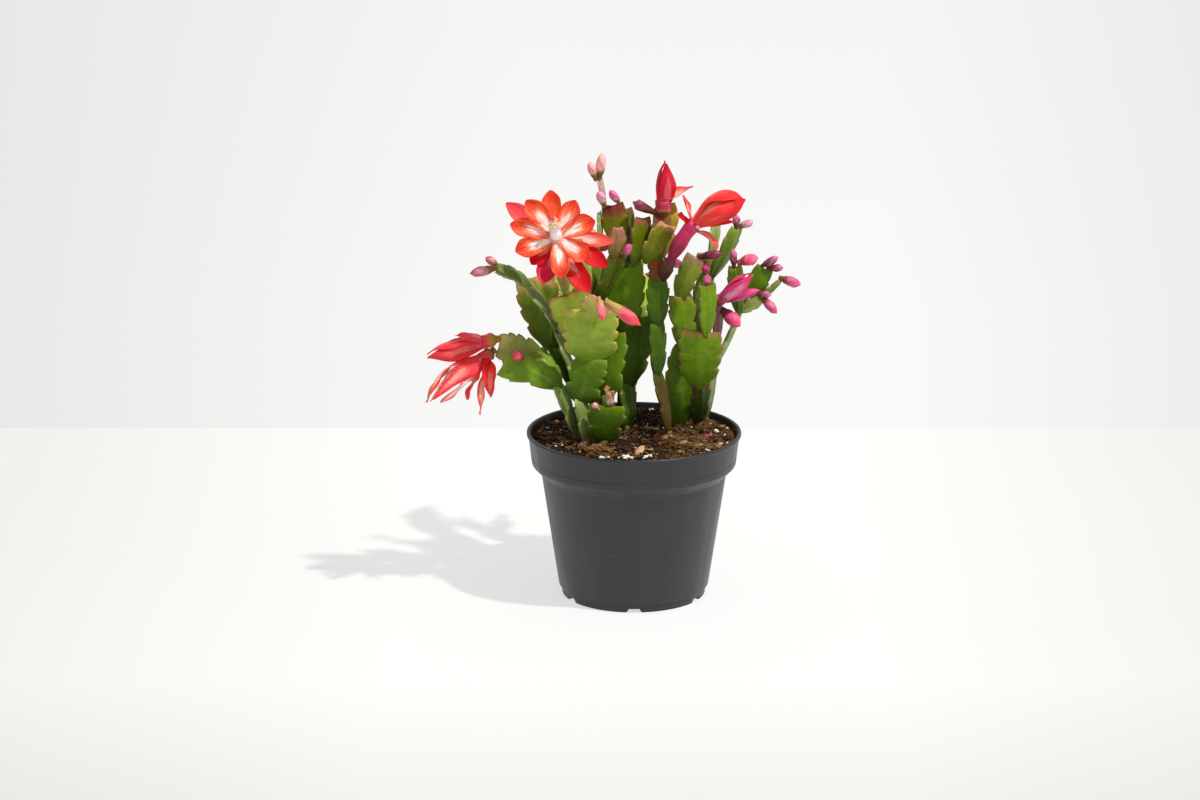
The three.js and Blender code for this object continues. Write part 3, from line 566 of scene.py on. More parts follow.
# Blooms: the cup on the pad, the tube that the petals leave, and how limp the petals are.
bloomLooks = lookTable(("cup", "tube", "wilted"), {
    "bloom_front_open": ("#8c8448", "#f2a89c", 0.0),
    "bloom_left_closed": ("#b08a3a", "#e0244a", 0.0),
    "bloom_left_hanging": ("#96703a", "#e03448", 0.55),
    "bloom_top_closed": ("#7c5c24", "#c0305c", 0.0),
    "bloom_right_open": ("#982c4c", "#d62a6c", 0.0),
    "bloom_right_spindle": ("#8c4c4c", "#c8446c", 0.0),
    "bloom_back_closed": ("#7c6a28", "#c0284c", 0.0),
    "dried_flower": ("#8c5c30", "#a86c3c", 1.0),
})


def pad(lean, toward, face, length, width, look, grows=(), **more):
    return {"kind": "pad", "lean": lean, "toward": toward, "face": face, "length": length, "width": width,
            "look": look, "grows": grows, "bow": 1.2, "sweep": 0, "cut": 0.72, "shoulder": 0.63, **more}


def bud(lean, toward, length, width, look, **more):
    return {"kind": "bud", "lean": lean, "toward": toward, "length": length, "width": width, "look": look, **more}


def bloom(name, lean, toward, form, **more):
    return {"kind": "bloom", "name": name, "lean": lean, "toward": toward, **form, **more}


# A petal is [look, where on the tube, turn, flare, curl, length, width, droop, twist]. Its shape is a list of
# its widths from root to tip.
spread = [0.36, 0.6, 0.88, 1, 0.94, 0.5]
limp = [0.4, 0.7, 0.94, 1, 0.82, 0.3]
shrunk = [0.5, 0.92, 0.9, 0.6, 0.46, 0.2]
pointed = [0.6, 0.94, 1, 0.66, 0.14]
wideOpen = {
    "shape": spread, "tube": (27, 22), "mouth": (-6, 72), "thick": 7.5, "throat": 9, "brush": (14, -8, 34),
    "petals": [
        ["sunlit", 0.97, -41, 66, 34, 22.5, 10.5], ["sunlit", 0.97, 29, 68, 34, 19.5, 10],
        ["sunlit", 0.97, 67, 70, 34, 20, 10.5], ["sunlit", 0.97, 124, 72, 36, 19, 10],
        ["sunlit", 0.97, 171, 72, 36, 20, 9.5], ["sunlit", 0.97, 249, 72, 34, 20.5, 10],
        ["sunlit", 0.97, 284, 72, 30, 22.5, 9.5], ["flame", 0.84, -9, 74, 16, 23.5, 10],
        ["rose", 0.84, -56, 84, 4, 30, 9], ["paleRose", 0.84, 93, 84, 6, 27, 7.5],
        ["crimson", 0.84, 118, 86, 10, 28, 9.5], ["crimson", 0.84, 148, 88, 8, 31, 10.5],
        ["pinkCrimson", 0.78, 194, 84, 6, 23, 10], ["crimson", 0.8, 222, 80, 8, 17, 9.5],
    ],
}
furled = {
    "shape": pointed, "tube": (6, 6), "mouth": (-105, 8), "thick": 7.6, "throat": 8, "core": (24.6, 3.7),
    "petals": [
        ["furledRed", 0.66, 0, 11, -43, 29, 10], ["furledRed", 0.66, 90, 11, -41, 29, 10],
        ["furledRed", 0.66, 180, 12, -45, 28, 10], ["furledRed", 0.6, 270, 12, -43, 26, 9.4],
        ["rose", 0.5, 24, 34, -32, 16, 7.4],
    ],
}
wilting = {
    "shape": shrunk, "tube": (4, 4), "mouth": (-121, 16), "thick": 7, "throat": 7, "brush": (12, -121, 16),
    "petals": [
        ["wiltSalmon", 0.8, 345, 20, -78, 36.5, 10, 4], ["wiltRed", 0.8, 62, 24, -44, 32.5, 9.6, 7],
        ["wiltPale", 0.8, 292, 14, -60, 33.5, 8.3, 5], ["wiltPale", 0.8, 122, 20, -41, 30, 8.2, 4],
        ["wiltRed", 0.8, 185, 30, 20, 22, 8.4], ["wiltSalmon", 0.5, 143, 42, 16, 30, 7.6, 0, 40],
        ["brightRed", 0.45, 112, 50, 26, 20, 7], ["wiltRed", 0.4, 178, 58, 8, 21.5, 9, 0, 60],
    ],
}
spire = {
    "shape": pointed, "tube": (3, 4), "mouth": (3, 4), "thick": 8.6, "throat": 8.2, "core": (19, 3.8),
    "petals": [
        ["spireRed", 0.4, 317, 11, -49, 25.4, 9.8], ["spireRed", 0.4, 77, 10, -46, 22.6, 9.6],
        ["spireRed", 0.4, 197, 11, -46, 24.2, 10], ["salmon", 0.95, 112, 56, 24, 15.5, 9.4],
    ],
}
windswept = {
    "shape": limp, "tube": (20, 4), "mouth": (65, 10), "thick": 8, "throat": 8.5, "brush": (10, 65, 10),
    "petals": [
        ["hood", 0.97, 0, 32, -128, 34, 16.4], ["hood", 0.97, 44, 22, -94, 30.7, 12],
        ["hood", 0.97, -42, 25, -102, 31.3, 14], ["hood", 0.97, -88, 14, -40, 30, 11.5],
        ["hood", 0.97, 107, 13, -30, 28.5, 10], ["brightRed", 0.95, 166, 23, 4, 19.5, 8],
        ["salmon", 0.9, -14, 66, 10, 15.5, 7.6], ["brightRed", 0.75, -30, 70, 40, 9, 7.5],
        ["salmon", 0.72, 190, 62, 62, 17, 7.4],
    ],
}
magentaSpindle = {
    "shape": pointed, "tube": (5, 4), "mouth": (49, 14), "thick": 6.2, "throat": 6.4, "core": (16, 3),
    "petals": [
        ["spindle", 0.4, 0, 12, -49, 21, 8.4], ["spindle", 0.4, 120, 12, -49, 20.5, 8.4],
        ["spindle", 0.4, 240, 12, -49, 21, 8.4], ["spindle", 0.5, 60, 14, -37, 13, 5],
    ],
}
driedRemains = {
    "shape": limp, "tube": (3.4, 3.4), "mouth": (-4, 10), "thick": 4.6, "throat": 3.8,
    "petals": [["withered", 0.7, 300, 10, -10, 5.4, 3.6], ["withered", 0.6, 100, 10, -16, 4, 3.4]],
}

# The stems, each from its root on the soil as (right, back), grown as the solids are.
stems = [
    ("stem_left_arch", (-23.6, 1),
     pad(-16.3, -4, 82, 21.9, 13, "stripGrey", [
         pad(-17.4, 4, 80, 33.4, 14, "stripGrey", [
             pad(-30.6, 8, 78, 28.9, 14, "stripGrey", [
                 pad(-58, 6, 66, 17.9, 11, "stripGrey", [
                     bud(-101, 5, 12.4, 5.2, "archTip", at=-0.5), bud(-53, 10, 6.9, 4.2, "archTip", at=1),
                 ], bow=2),
             ], bow=2),
         ]),
         pad(-29, -16, 60, 25, 13, "deep", [pad(-15, 0, 4, 38, 22, "leafRust", cut=0.8)], at=-0.4),
     ])),
    ("stem_left_low", (-29.3, -7),
     pad(-20, 6.8, 66, 29.2, 13, "stripGrey", [
         pad(-66.4, 9.5, 14, 30.5, 15.5, "leafMid", [
             bud(-50, 48, 6.5, 5.4, "redPink", up=0.72, at=1.9, off=1.5),
         ], sweep=2.4),
         pad(-35, -20, 40, 20.2, 12, "leafMid", [
             pad(-79, 6.3, -4, 19.6, 17, "oliveHorn", [
                 bloom("bloom_left_closed", -98, 9, furled, at=0.75),
                 bloom("bloom_left_hanging", -124, 17, wilting, at=-0.85),
             ]),
         ], at=0.4),
     ], bow=1)),
    ("stem_front", (-24.6, -14.5),
     pad(-8, -8, 45, 21, 10, "stripGrey", [
         pad(14.4, 5.3, -10, 23.5, 19.5, "leafLow", [
             pad(-0.9, 14.8, 0, 27.4, 28.5, "lime", [
                 pad(34.9, 50, 0, 14.4, 15, "limePink", [
                     bud(122, 16, 20, 6.6, "frontPink", at=0.8, cup=0.4),
                     bud(168, 24, 10.6, 4.6, "coral", at=-0.4, off=1.4),
                 ]),
             ], cut=0.92, shoulder=0.84),
         ], cut=0.86, shoulder=0.9),
     ])),
    ("stem_front_inner", (-13.5, -3.5),
     pad(-2, 8, 62, 22, 12, "deep", [pad(5.5, -3.6, -14, 31.8, 17.5, "leafDeep", shoulder=0.85)])),
    ("stem_front_short", (-15.5, -17.5),
     pad(5.2, 5, 0, 18.4, 19.6, "deepShort", [
         bloom("dried_flower", 2, 4, driedRemains, at=0.3), bud(-40, 20, 3.6, 3.2, "blush", up=0.9, at=-1, off=1.6),
     ], teeth=2, cut=0.86)),
    ("stem_middle_left", (-11, 3),
     pad(-14.3, -2.3, 55, 20.6, 13, "stripGrey", [
         pad(-9.1, 4.4, 40, 25.9, 14, "deep", [
             pad(-20.5, 13, 10, 33.4, 23.5, "limeRust", [bloom("bloom_front_open", -8, 4, wideOpen)], at=-1,
                 cut=0.88),
             pad(0, -5, 30, 22, 14, "deep", [
                 pad(21, 13, 40, 29.8, 14, "deepOlive", [
                     pad(8, 15, 20, 15, 11, "brownPink", at=-0.6, teeth=1, cut=0.46),
                     bud(16, 30, 8, 4.4, "hotPink", at=0.8, off=3),
                 ]),
                 pad(4, -15, 60, 25.7, 10, "leafMid", [
                     pad(3.8, -2, 72, 20.4, 8, "stripPale"), bud(40, 40, 6, 4.8, "coral", at=1.7, off=0.6),
                 ], at=-0.6),
             ], at=0.4),
         ]),
     ])),
    ("stem_middle", (-4, 6),
     pad(2.2, -10.7, 50, 22.4, 14, "deep", [
         pad(-4.5, 0, 30, 26.7, 20, "deep", [
             pad(2.1, 6, -5, 38.6, 20, "leafDeep", [
                 pad(-9.1, -7.2, -10, 29.5, 14, "maroonTop", [
                     pad(-8.2, 0, 20, 14.6, 4.4, "mauveStalk", [
                         bud(6, 0, 12.4, 5, "salmon", at=0.2), bud(-18, 16, 9.4, 4.2, "salmon", at=-2.2),
                     ], at=-1.35, teeth=0),
                     bud(-20, 26, 9, 4.6, "mauve", at=-1.1, off=2.8), bud(-34, 14, 8, 4.2, "hotPink", at=0.9),
                 ], at=-0.5, cut=0.8),
                 pad(-1.1, -17, 40, 27.5, 12, "deepOlive"),
                 pad(9.4, 4.7, 30, 24.3, 12, "rustTop", at=0.8),
             ]),
         ]),
         pad(9.9, -3.2, 20, 35.6, 18, "deep", at=0.3),
     ])),
    ("stem_right_brown", (17.5, -1),
     pad(-10.7, -1.7, 60, 31.2, 11, "woody", [
         pad(-0.2, 0, 40, 26.4, 12, "deep", [
             pad(-0.2, -2.5, 20, 23.4, 13, "deep", [
                 pad(-2.9, -5.3, 0, 10.8, 9, "rust", [
                     pad(29, 8, 15, 21, 12.5, "peachTop", at=-2, off=1, cut=0.7, sweep=-1),
                     pad(6, -8.6, 20, 21.5, 12, "oliveBrown", [
                         bloom("bloom_top_closed", 3.8, 4, spire, sink=0.25),
                         bud(-62, 8, 12.4, 5.4, "maroon", at=-1.6, sink=0.5, cup=0.5),
                     ], at=0.4),
                     pad(11, -22, 5, 28.5, 14, "oliveYellow", at=0.6, off=-1, cut=0.45),
                 ]),
                 pad(23, 26, 0, 13.8, 8, "darkPlum", [
                     bloom("bloom_right_open", 26, 12, windswept, sink=0.8),
                 ], at=0.6, teeth=1),
             ]),
         ]),
     ])),
    ("stem_right_front", (23, 14),
     pad(4.8, 0, 10, 41.5, 19, "leafLow", [
         pad(-7, 0, 25, 27.6, 16, "leafRim", [
             pad(21, 6, -10, 22.5, 12.5, "limeBrown", [
                 bud(80, 6, 10, 5, "maroonTip", at=1.1),
                 bud(-60, 30, 5.5, 5, "hotPink", up=0.62, at=-1.8, off=0.9),
             ]),
         ]),
     ], teeth=4, cut=0.6)),
    ("stem_right_inner", (33, 19),
     pad(3, 28, 30, 27.8, 12, "darkest", [
         pad(2.9, 12, -10, 30, 23.5, "leafRim", [
             pad(0.8, 0, 35, 24.7, 12, "limeBright", [bud(4, 4, 5, 4.2, "rosy")], at=0.4, cut=0.86),
         ], at=-0.6, cut=0.84),
     ])),
    ("stem_right_outer", (37, 28),
     pad(8.8, 3.6, 75, 30.2, 14, "stripGrey", [
         pad(23.4, 7.5, 70, 33, 10, "stripPale", [
             pad(54, 26, 20, 13, 8, "stripPale", [
                 bud(92, 6, 7.4, 3.8, "brownTip", at=-1.6, off=-0.2), bud(134, 24, 10.4, 4.8, "rosy", at=0.6),
             ]),
             pad(-5.2, 13, 0, 25, 9, "leafMid", [
                 bud(-4, 4, 9, 4, "brownTip", at=-0.2), bud(74, 0, 9.4, 6, "pinkPetal", at=1.35),
             ], at=-1),
             pad(29.3, 6, 10, 25.7, 12, "leafDeep", [
                 bud(56, 13, 9.4, 4.2, "brownTip", at=-0.5), bud(84, 16, 7.1, 4, "brownTip", at=0.8),
             ], at=-0.4),
             pad(52, 4, 60, 25, 9, "leafMid", [bud(106, 11, 10.1, 5.2, "rosy")], at=0.2),
         ]),
         pad(3.2, 22, 40, 38, 7, "plum", [
             bloom("bloom_right_spindle", 45.4, 14, magentaSpindle, at=-0.4),
             bud(72, 4, 20.5, 5, "crimson", up=0.97, at=1.75, off=-1.1),
             bud(128, 32, 12.2, 7, "magenta", up=0.84, at=1.5, off=1.3, sink=0.2),
         ], at=-0.7),
     ])),
    ("stem_back_right", (25, 33),
     pad(4.6, 7.8, 60, 26.4, 14, "deep", [
         pad(7.3, 8.6, 30, 26.8, 18, "leafDeep", [
             pad(15, 6, 40, 25.4, 14, "leafMid", [
                 pad(26, 3, 46, 28.6, 12.5, "leafMid", [
                     bud(2, 8, 6.4, 4.2, "brownTip", at=-0.3), bud(64, 15, 7.6, 4.2, "mauve", at=0.8),
                 ], at=1),
                 pad(10.5, -3.8, 60, 30.1, 11, "stripPale", at=-0.2),
                 pad(3.2, 24, 10, 15.2, 9, "limeBrown", [
                     bud(6, 34, 6.5, 5, "crimson", up=0.36, off=3.2, at=0.2),
                 ], at=-0.9),
             ]),
         ]),
     ])),
    ("stem_back_left", (-20, 27),
     pad(-6, -12, 60, 30, 14, "deep", [
         pad(-8, -22, 20, 29, 19, "leafMid", [
             pad(6, -34, 10, 27, 17, "leafMid", [
                 pad(10, -66, 0, 17, 13, "limePink", [bud(14, -100, 11, 5.2, "frontPink", sink=0.5)]),
             ], at=0.4),
             pad(-24, -50, 0, 24, 15, "lime", [
                 bloom("bloom_back_closed", -22, -88, spire, mouth=(-20, -120), sink=0.9),
             ], at=-0.7),
         ]),
     ])),
    ("stem_back_middle", (-6, 35),
     pad(8, -8, 40, 28, 14, "deep", [
         pad(2, -20, 0, 30, 20, "leafMid", [
             pad(-4, -16, 10, 30, 16, "leafRim", [
                 bud(-20, -40, 9, 4.6, "rosy", at=-0.8), bud(24, -60, 8, 4.4, "hotPink", at=0.8),
             ]),
             pad(30, -60, 20, 20, 13, "lime", [bud(20, -110, 12, 5.4, "magenta")], at=0.8),
         ]),
     ])),
]

padBuild = {
    "thick": 3.4, "thickShare": 0.36, "sink": 2.6, "tip": 0.97, "columns": 14, "stepsPerTooth": 5, "bulge": 0.07,
    "toothForward": 0.015, "edgeShare": 0.17, "ribWidth": 0.14, "veinWidth": 0.07, "waves": 0.45, "wideWaves": 14,
    "wideTeeth": 16, "hairs": 5, "hairRoot": 0.97, "hairLength": 1.3, "hairRadius": 0.07,
    "hairTints": ("#8a6a40", "#c8b088"),
    "shade": (0.88, 0.26),
}


def padEdge(item, teeth, seed, side):  # one side of a pad as [share of the length, share of the half width]
    edge = [[0, 0.18], [0.2, item["shoulder"]]]
    reach = [0.9, 1, 1, 0.94]
    notch = min(0.17, 3 / item["width"])
    for i in range(teeth):
        share = (i + 1) / (teeth + 0.45)
        along = 0.16 + 0.74 * share + 0.035 * (wobble(seed, 3 * i + side) - 0.5)
        out = reach[i] + 0.1 * (wobble(seed, 7 * i + side) - 0.5)
        edge += [[along, out], [along + 0.05, out - notch]]
    edge.append([1.01, item["cut"] + 0.1 * (wobble(seed, 20 + side) - 0.5)])
    return edge


def edgePoint(edge, place):  # a place between two corners: full towards a tooth, hooked behind it
    i = min(int(place), len(edge) - 2)
    f = place - i
    (a0, o0), (a1, o1) = edge[i], edge[i + 1]
    forward = padBuild["toothForward"]
    if i > 1 and i % 2 == 0:  # from a tooth's tip into its notch
        return a0 + forward * (1 - f) + (a1 - a0) * f, o0 + (o1 - o0) * f ** 0.55
    full = padBuild["bulge"] * math.sin(math.pi * f) * (1.2 - 0.7 * f)
    if i == 0:
        return a0 + (a1 - a0) * f, o0 + (o1 - o0) * f + 0.4 * full
    return a0 + (a1 + (forward if i < len(edge) - 2 else 0) - a0) * f, o0 + (o1 - o0) * f + full


def growPad(piece, base, item, seed):
    p = padBuild
    along, across, front = directions(item["lean"], item["toward"], item["face"])
    whole = (item["length"] + p["sink"]) / p["tip"]
    teeth = item.get("teeth", 3 if item["width"] > p["wideTeeth"] else 2)
    edges = [padEdge(item, teeth, seed, side) for side in (0, 1)]
    corners = len(edges[0]) - 1
    rows = corners * p["stepsPerTooth"]
    thick = min(p["thick"], item["width"] * p["thickShare"])
    look = padLooks[item["look"]]
    brighter = pick(p["shade"], seed, 61)

    def waves(u, inside):  # how far the pad's face strays from flat
        wave = p["waves"] * noise.noise(Vector((u * 1.3, inside * 2.4, seed * 3.71)))
        wave += 0.7 * p["waves"] * abs(u) ** 2 * noise.noise(Vector((u * 0.8, inside * 5, seed * 1.93 + 40)))
        return wave * (min(item["width"] / p["wideWaves"], 1) * ramp(0, 0.25, inside))

    def placeOn(u, row, side, lift=1.0):
        place = row / p["stepsPerTooth"]
        left, right = edgePoint(edges[0], place), edgePoint(edges[1], place)
        middle = (left[0] + right[0]) / 2
        if place > corners - 1:
            middle += (p["tip"] - middle) * (place - corners + 1)
        share, reach = left if u < 0 else right
        share = middle + (share - middle) * abs(u) ** 1.3
        inside = min(max(share, 0), 1)
        rib = math.exp(-(u / p["ribWidth"]) ** 2)
        body = max(1 - abs(u) ** 2.4, 0) ** 0.5
        depth = thick / 2 * (0.78 + 0.3 * math.sin(math.pi * inside))
        depth *= p["edgeShare"] + 0.5 * body + (0.5 - p["edgeShare"]) * rib
        depth *= 1 - 0.55 * ramp(corners - 0.5, corners, place)
        arch = 4 * inside * (1 - inside)
        return (base + along * (whole * share - p["sink"])
                + across * (item["width"] / 2 * u * reach + item["sweep"] * arch)
                + front * (side * depth * lift + item["bow"] * arch + waves(u, inside))), inside

    for vert, u, share, side in sheet(piece, p["columns"], rows):
        row = round(share * rows)
        u = u * (1.4 - 0.4 * u * u)
        vert.co, inside = placeOn(u, row, side)
        place = row / p["stepsPerTooth"]
        tooth = max(0, 1 - abs(place - 2 * round(place / 2)) * 1.6) if 1 < place < corners - 1 else 0
        tooth = max(tooth, ramp(corners - 0.7, corners, place))
        jitter = 0.1 * noise.noise(Vector((u * 3, inside * 4, seed * 0.77)))
        tint = mixed(look["deep"], look["base"], ramp(-0.05, 0.55, inside))
        tint = mixed(tint, look["top"], ramp(1 - look["band"] * 1.3, 1 - look["band"] * 0.25, inside + jitter))
        tint = tuple(part * brighter for part in tint[:3]) + (1,)
        thinEdge = ramp(0.86, 0.99, abs(u))
        edge = look["edge"] * (thinEdge * (0.45 + 0.55 * tooth) + 0.5 * tooth * ramp(0.6, 1, abs(u)))
        edge = max(edge, 0.8 * look["edge"] * ramp(corners - 0.25, corners, place))
        vein = 0.8 * math.exp(-(u / p["veinWidth"]) ** 2) * ramp(0.05, 0.3, inside) * (1 - 0.8 * inside) + 0.03
        mark(piece, vert, (tint, look["rib"], look["rim"]), along=inside, across=u, edge=min(edge, 1),
             pale=look["ribs"] * vein, seed=seed * 1.7)

    hairTints = paints(p["hairTints"])
    spots = [(side, corner) for side in (-1, 1) for corner in range(3, corners, 2)]
    for number, (side, corner) in enumerate(spots):
        spot, _ = placeOn(side * p["hairRoot"], corner * p["stepsPerTooth"], 1, 0)
        for hair in range(p["hairs"]):
            fan = along * (0.5 + wobble(seed + number, hair))
            fan += across * side * (0.4 + 0.8 * wobble(seed, hair + number))
            fan += front * (wobble(seed + 9, hair * 3 + number) - 0.5)
            length = p["hairLength"] * min(item["width"] / 14, 1.3) * (0.5 + 0.7 * wobble(hair, seed + number))
            thread(piece, spot, spot + fan.normalized() * length, front * 0.1, p["hairRadius"], hairTints, steps=2)


neckBuild = {"below": 1.9, "above": 0.9, "sides": 14, "rings": 8, "rimTint": (0.05, 0.03, 0.01, 1)}


def growNeck(piece, base, along, radius, tint, seed):  # the short joint by which a bud or bloom sits on its pad
    def dress(vert, share, turn):
        mark(piece, vert, (tint, tint, mixed(tint, neckBuild["rimTint"], 0.5)), along=share, across=math.sin(turn),
             seed=seed, edge=0.3)

    roundForm(piece, (base - along * neckBuild["below"], base, base + along * neckBuild["above"]),
              lambda share, turn: radius * (0.72 + 0.3 * share), neckBuild["sides"], neckBuild["rings"], dress)


budBuild = {"sides": 24, "rings": 26, "wraps": 3, "twist": 0.55, "fold": 0.12, "scales": 0.06, "cup": 0.26}


def growBud(piece, base, item, seed):
    p = budBuild
    along, _, front = directions(item["lean"], item["toward"])
    bend = (wobble(seed, 31) - 0.3) * item["length"] * 0.12
    path = (base, base + along * item["length"] / 2 + front * bend, base + along * item["length"])
    radius = item["width"] / 2
    cup = item.get("cup", p["cup"])
    swell = [[0, 0.42], [cup * 0.6, 0.76], [cup + 0.28, 1], [0.82, 0.72], [1, 0.05]]
    look = budLooks[item["look"]]
    phase = wobble(seed, 44)

    def wrap(share, turn):  # how far round the furled petal under this point, 0 at its outer edge
        return (turn / fullTurn * p["wraps"] + share * p["twist"] * p["wraps"] + phase) % 1

    def size(share, turn):
        petals = ramp(cup * 0.7, cup + 0.12, share)
        fold = p["fold"] * (1 - wrap(share, turn)) ** 1.5
        scales = p["scales"] * math.cos(5 * turn + 9 * share) * (1 - petals)
        return radius * profileAt(swell, share) * (1 - p["fold"] * 0.4 * petals + fold * petals + scales)

    def dress(vert, share, turn):
        cupMask = 1 - ramp(cup * 0.75, cup + 0.1 + 0.06 * math.sin(turn * 2 + seed), share)
        tint = mixed(mixed(look["body"], look["tip"], ramp(0.45, 0.9, share)), look["cup"], cupMask)
        lap = wrap(share, turn)
        # The light streaks on each wrap are partly the petals' own pale lines and partly painted highlights.
        mark(piece, vert, (tint, look["line"], look["rim"]), along=share, across=math.sin(turn), seed=seed * 2.3,
             pale=0.32 * (1 - cupMask) * ramp(0.1, 0.6, lap),
             edge=0.75 * (1 - cupMask) * max(ramp(0.86, 1, lap), 1 - ramp(0, 0.08, lap)))

    roundForm(piece, path, size, p["sides"], p["rings"], dress)
    growNeck(piece, base, along, radius * 0.62, look["cup"], seed)


petalBuild = {
    "cupping": 0.18, "thick": 0.5, "columns": 10, "rows": 26, "ruffle": 0.055, "crease": 0.3, "creaseWidth": 0.16,
    "lift": 1.6, "rounding": 0.72, "sway": 0.05,
}


def growPetal(piece, path, petal, widths, seed, wilted=0.0):
    p = petalBuild
    lookName, at, turn, flare, curl, length, width, droop, twist = (petal + [0, 0])[:9]
    look = petalLooks[lookName]
    start, axis = bezier(path, at)
    up = (Vector((0, 0, 1)) - axis * axis.z).normalized()
    out = Quaternion(axis, -turn * degree) @ up
    across = axis.cross(out)
    steps = len(widths)
    spine, backs = [start + out * p["lift"]], []
    for row in range(steps):
        angle = (flare + curl * (row / (steps - 1)) ** 1.5) * degree
        step = axis * math.cos(angle) + out * math.sin(angle)
        backs.append(across.cross(step))
        spine.append(spine[row] + step * (length / (steps - 1)))
    for row, point in enumerate(spine):
        point.z -= droop * (row / steps) ** 2
    spine = spine[:steps]
    for vert, u, share, face in sheet(piece, p["columns"], p["rows"]):
        u = u * (1.25 - 0.25 * u * u)
        wide = max(through(widths, share), 0.02)
        wide *= max(1 - max((share - p["rounding"]) / (1 - p["rounding"]), 0) ** 2.6, 0) ** 0.8 * 0.96 + 0.04
        half = width / 2 * wide
        lift = face * p["thick"] / 2 * (1.1 - 0.75 * abs(u)) * (1 - 0.6 * share)
        lift += p["cupping"] * half * (1 - 2 * u * u)
        lift -= p["crease"] * math.exp(-(u / p["creaseWidth"]) ** 2) * (1 - share)
        ruffle = p["ruffle"] * (1 + 2.4 * wilted) * width
        lift += ruffle * u * u * math.sin(share * 11 + seed * 2.1 + (2 if u > 0 else 0))
        lift += wilted * 0.5 * math.sin(share * 17 + u * 5 + seed) * (1 - abs(u) * 0.4)
        sway = (wobble(seed, 12) - 0.5) * p["sway"] * length * math.sin(math.pi * share)
        back = through(backs, share).normalized()
        turned = twist * degree * min(share * 2.5, 1)
        side = across * math.cos(turned) + back * math.sin(turned)
        out = back * math.cos(turned) - across * math.sin(turned)
        vert.co = through(spine, share) + side * (half * u + sway) + out * lift
        reach = 1 - ramp(look["reach"] * 0.45, look["reach"], share)
        reach *= ramp(0.24, 0.5, share) if wilted else 1
        middle = 1 - ramp(look["wide"] * 0.5, look["wide"] * 1.25, abs(u) / max(1.25 - share * 0.5, 0.5))
        edge = look["edge"] * max(ramp(0.42, 1, abs(u)) * ramp(0.2, 0.6, share), ramp(0.5, 0.98, share))
        mark(piece, vert, (look["body"], look["heart"], look["rim"]), along=share * length / 12,
             across=u * width / 12, edge=edge, pale=reach * middle, seed=seed * 1.3)


brushBuild = {
    "filaments": 56, "filamentRadius": 0.22, "turnStep": 2.4, "spread": 3.1, "bundle": 2.9, "ridges": 22,
    "bundleShape": [[0, 0.9], [0.5, 1], [0.8, 0.8], [1, 0.1]], "antherLength": 1.1, "antherRadius": 0.36,
    "styleRadius": 0.62, "lobes": 5, "lobeRadius": 0.42,
    "filament": ("#fbe4e0", "#ffffff"), "anther": ("#f2e2b4", "#d8b86a"), "style": ("#d43a86", "#b8246c"),
}


def growBrush(piece, path, last, seed):  # stamens round a style, out of the mouth
    p = brushBuild
    filament, anther, style = (paints(p[key]) for key in ("filament", "anther", "style"))
    root = bezier(path, 0.7)[0]
    mouth = path[2]
    reach, last = last.length, last.normalized()
    u, v = roundAbout(last)

    def around(turn):
        return u * math.cos(turn) + v * math.sin(turn)

    def dress(vert, share, turn):
        ridge = 0.5 + 0.5 * math.cos(p["ridges"] * turn)
        mark(piece, vert, (mixed(filament[0], filament[1], ridge), filament[1], filament[0]))

    def bundle(share, turn):  # the filaments' foot, packed together
        return p["bundle"] * profileAt(p["bundleShape"], share) * (1 + 0.04 * math.cos(p["ridges"] * turn))

    useSecond(roundForm(piece, (root, mouth, mouth + last * reach * 0.45), bundle, 2 * p["ridges"], 10, dress))
    for number in range(p["filaments"]):
        out = p["spread"] * math.sqrt((number + 0.5) / p["filaments"])
        side = around(number * p["turnStep"])
        tip = mouth + last * reach * (0.5 + 0.32 * wobble(number, seed)) + side * out
        thread(piece, root + side * out * 0.4, tip, side * 0.5, p["filamentRadius"], filament, 4, 5, number)
        head = stamp(piece, makeStone, 1)
        for vert in head:
            x, y, z = vert.co
            vert.co = tip + (u * x + v * y) * p["antherRadius"] + last * z * p["antherLength"] / 2
            mark(piece, vert, (anther[0], anther[1], anther[1]))
        useSecond(head)
    styleTip = mouth + last * reach
    thread(piece, root, styleTip, v * 0.4, p["styleRadius"], style, 6, 6, 3)
    for lobe in range(p["lobes"]):
        side = around(lobe * fullTurn / p["lobes"])
        start = styleTip - last * 1.4 + side * 0.15
        thread(piece, start, styleTip + side * 0.75, side * 0.3, p["lobeRadius"], style, 5, 3)


tubeBuild = {"sides": 28, "rings": 26, "cupScales": 5, "pale": (1, 0.82, 0.78, 1), "dark": (0.3, 0.05, 0.05, 1)}
coreBuild = {"shape": [[0, 0.7], [0.3, 1], [0.7, 0.74], [1, 0.04]], "sides": 20, "rings": 22, "from": 0.85}


def growCore(piece, path, last, item, seed):  # the inner petals, still rolled
    length, radius = item["core"]
    start = bezier(path, coreBuild["from"])[0]
    look = petalLooks[item["petals"][0][0]]

    def size(share, turn):
        return radius * profileAt(coreBuild["shape"], share) * (1 + 0.08 * math.cos(3 * turn + 5 * share))

    def dress(vert, share, turn):
        mark(piece, vert, (look["body"], look["heart"], look["rim"]), along=share * 2, across=math.sin(turn * 1.5),
             seed=seed, pale=0.35, edge=0.25)

    roundForm(piece, (start, path[2], path[2] + last * length), size, coreBuild["sides"], coreBuild["rings"], dress)


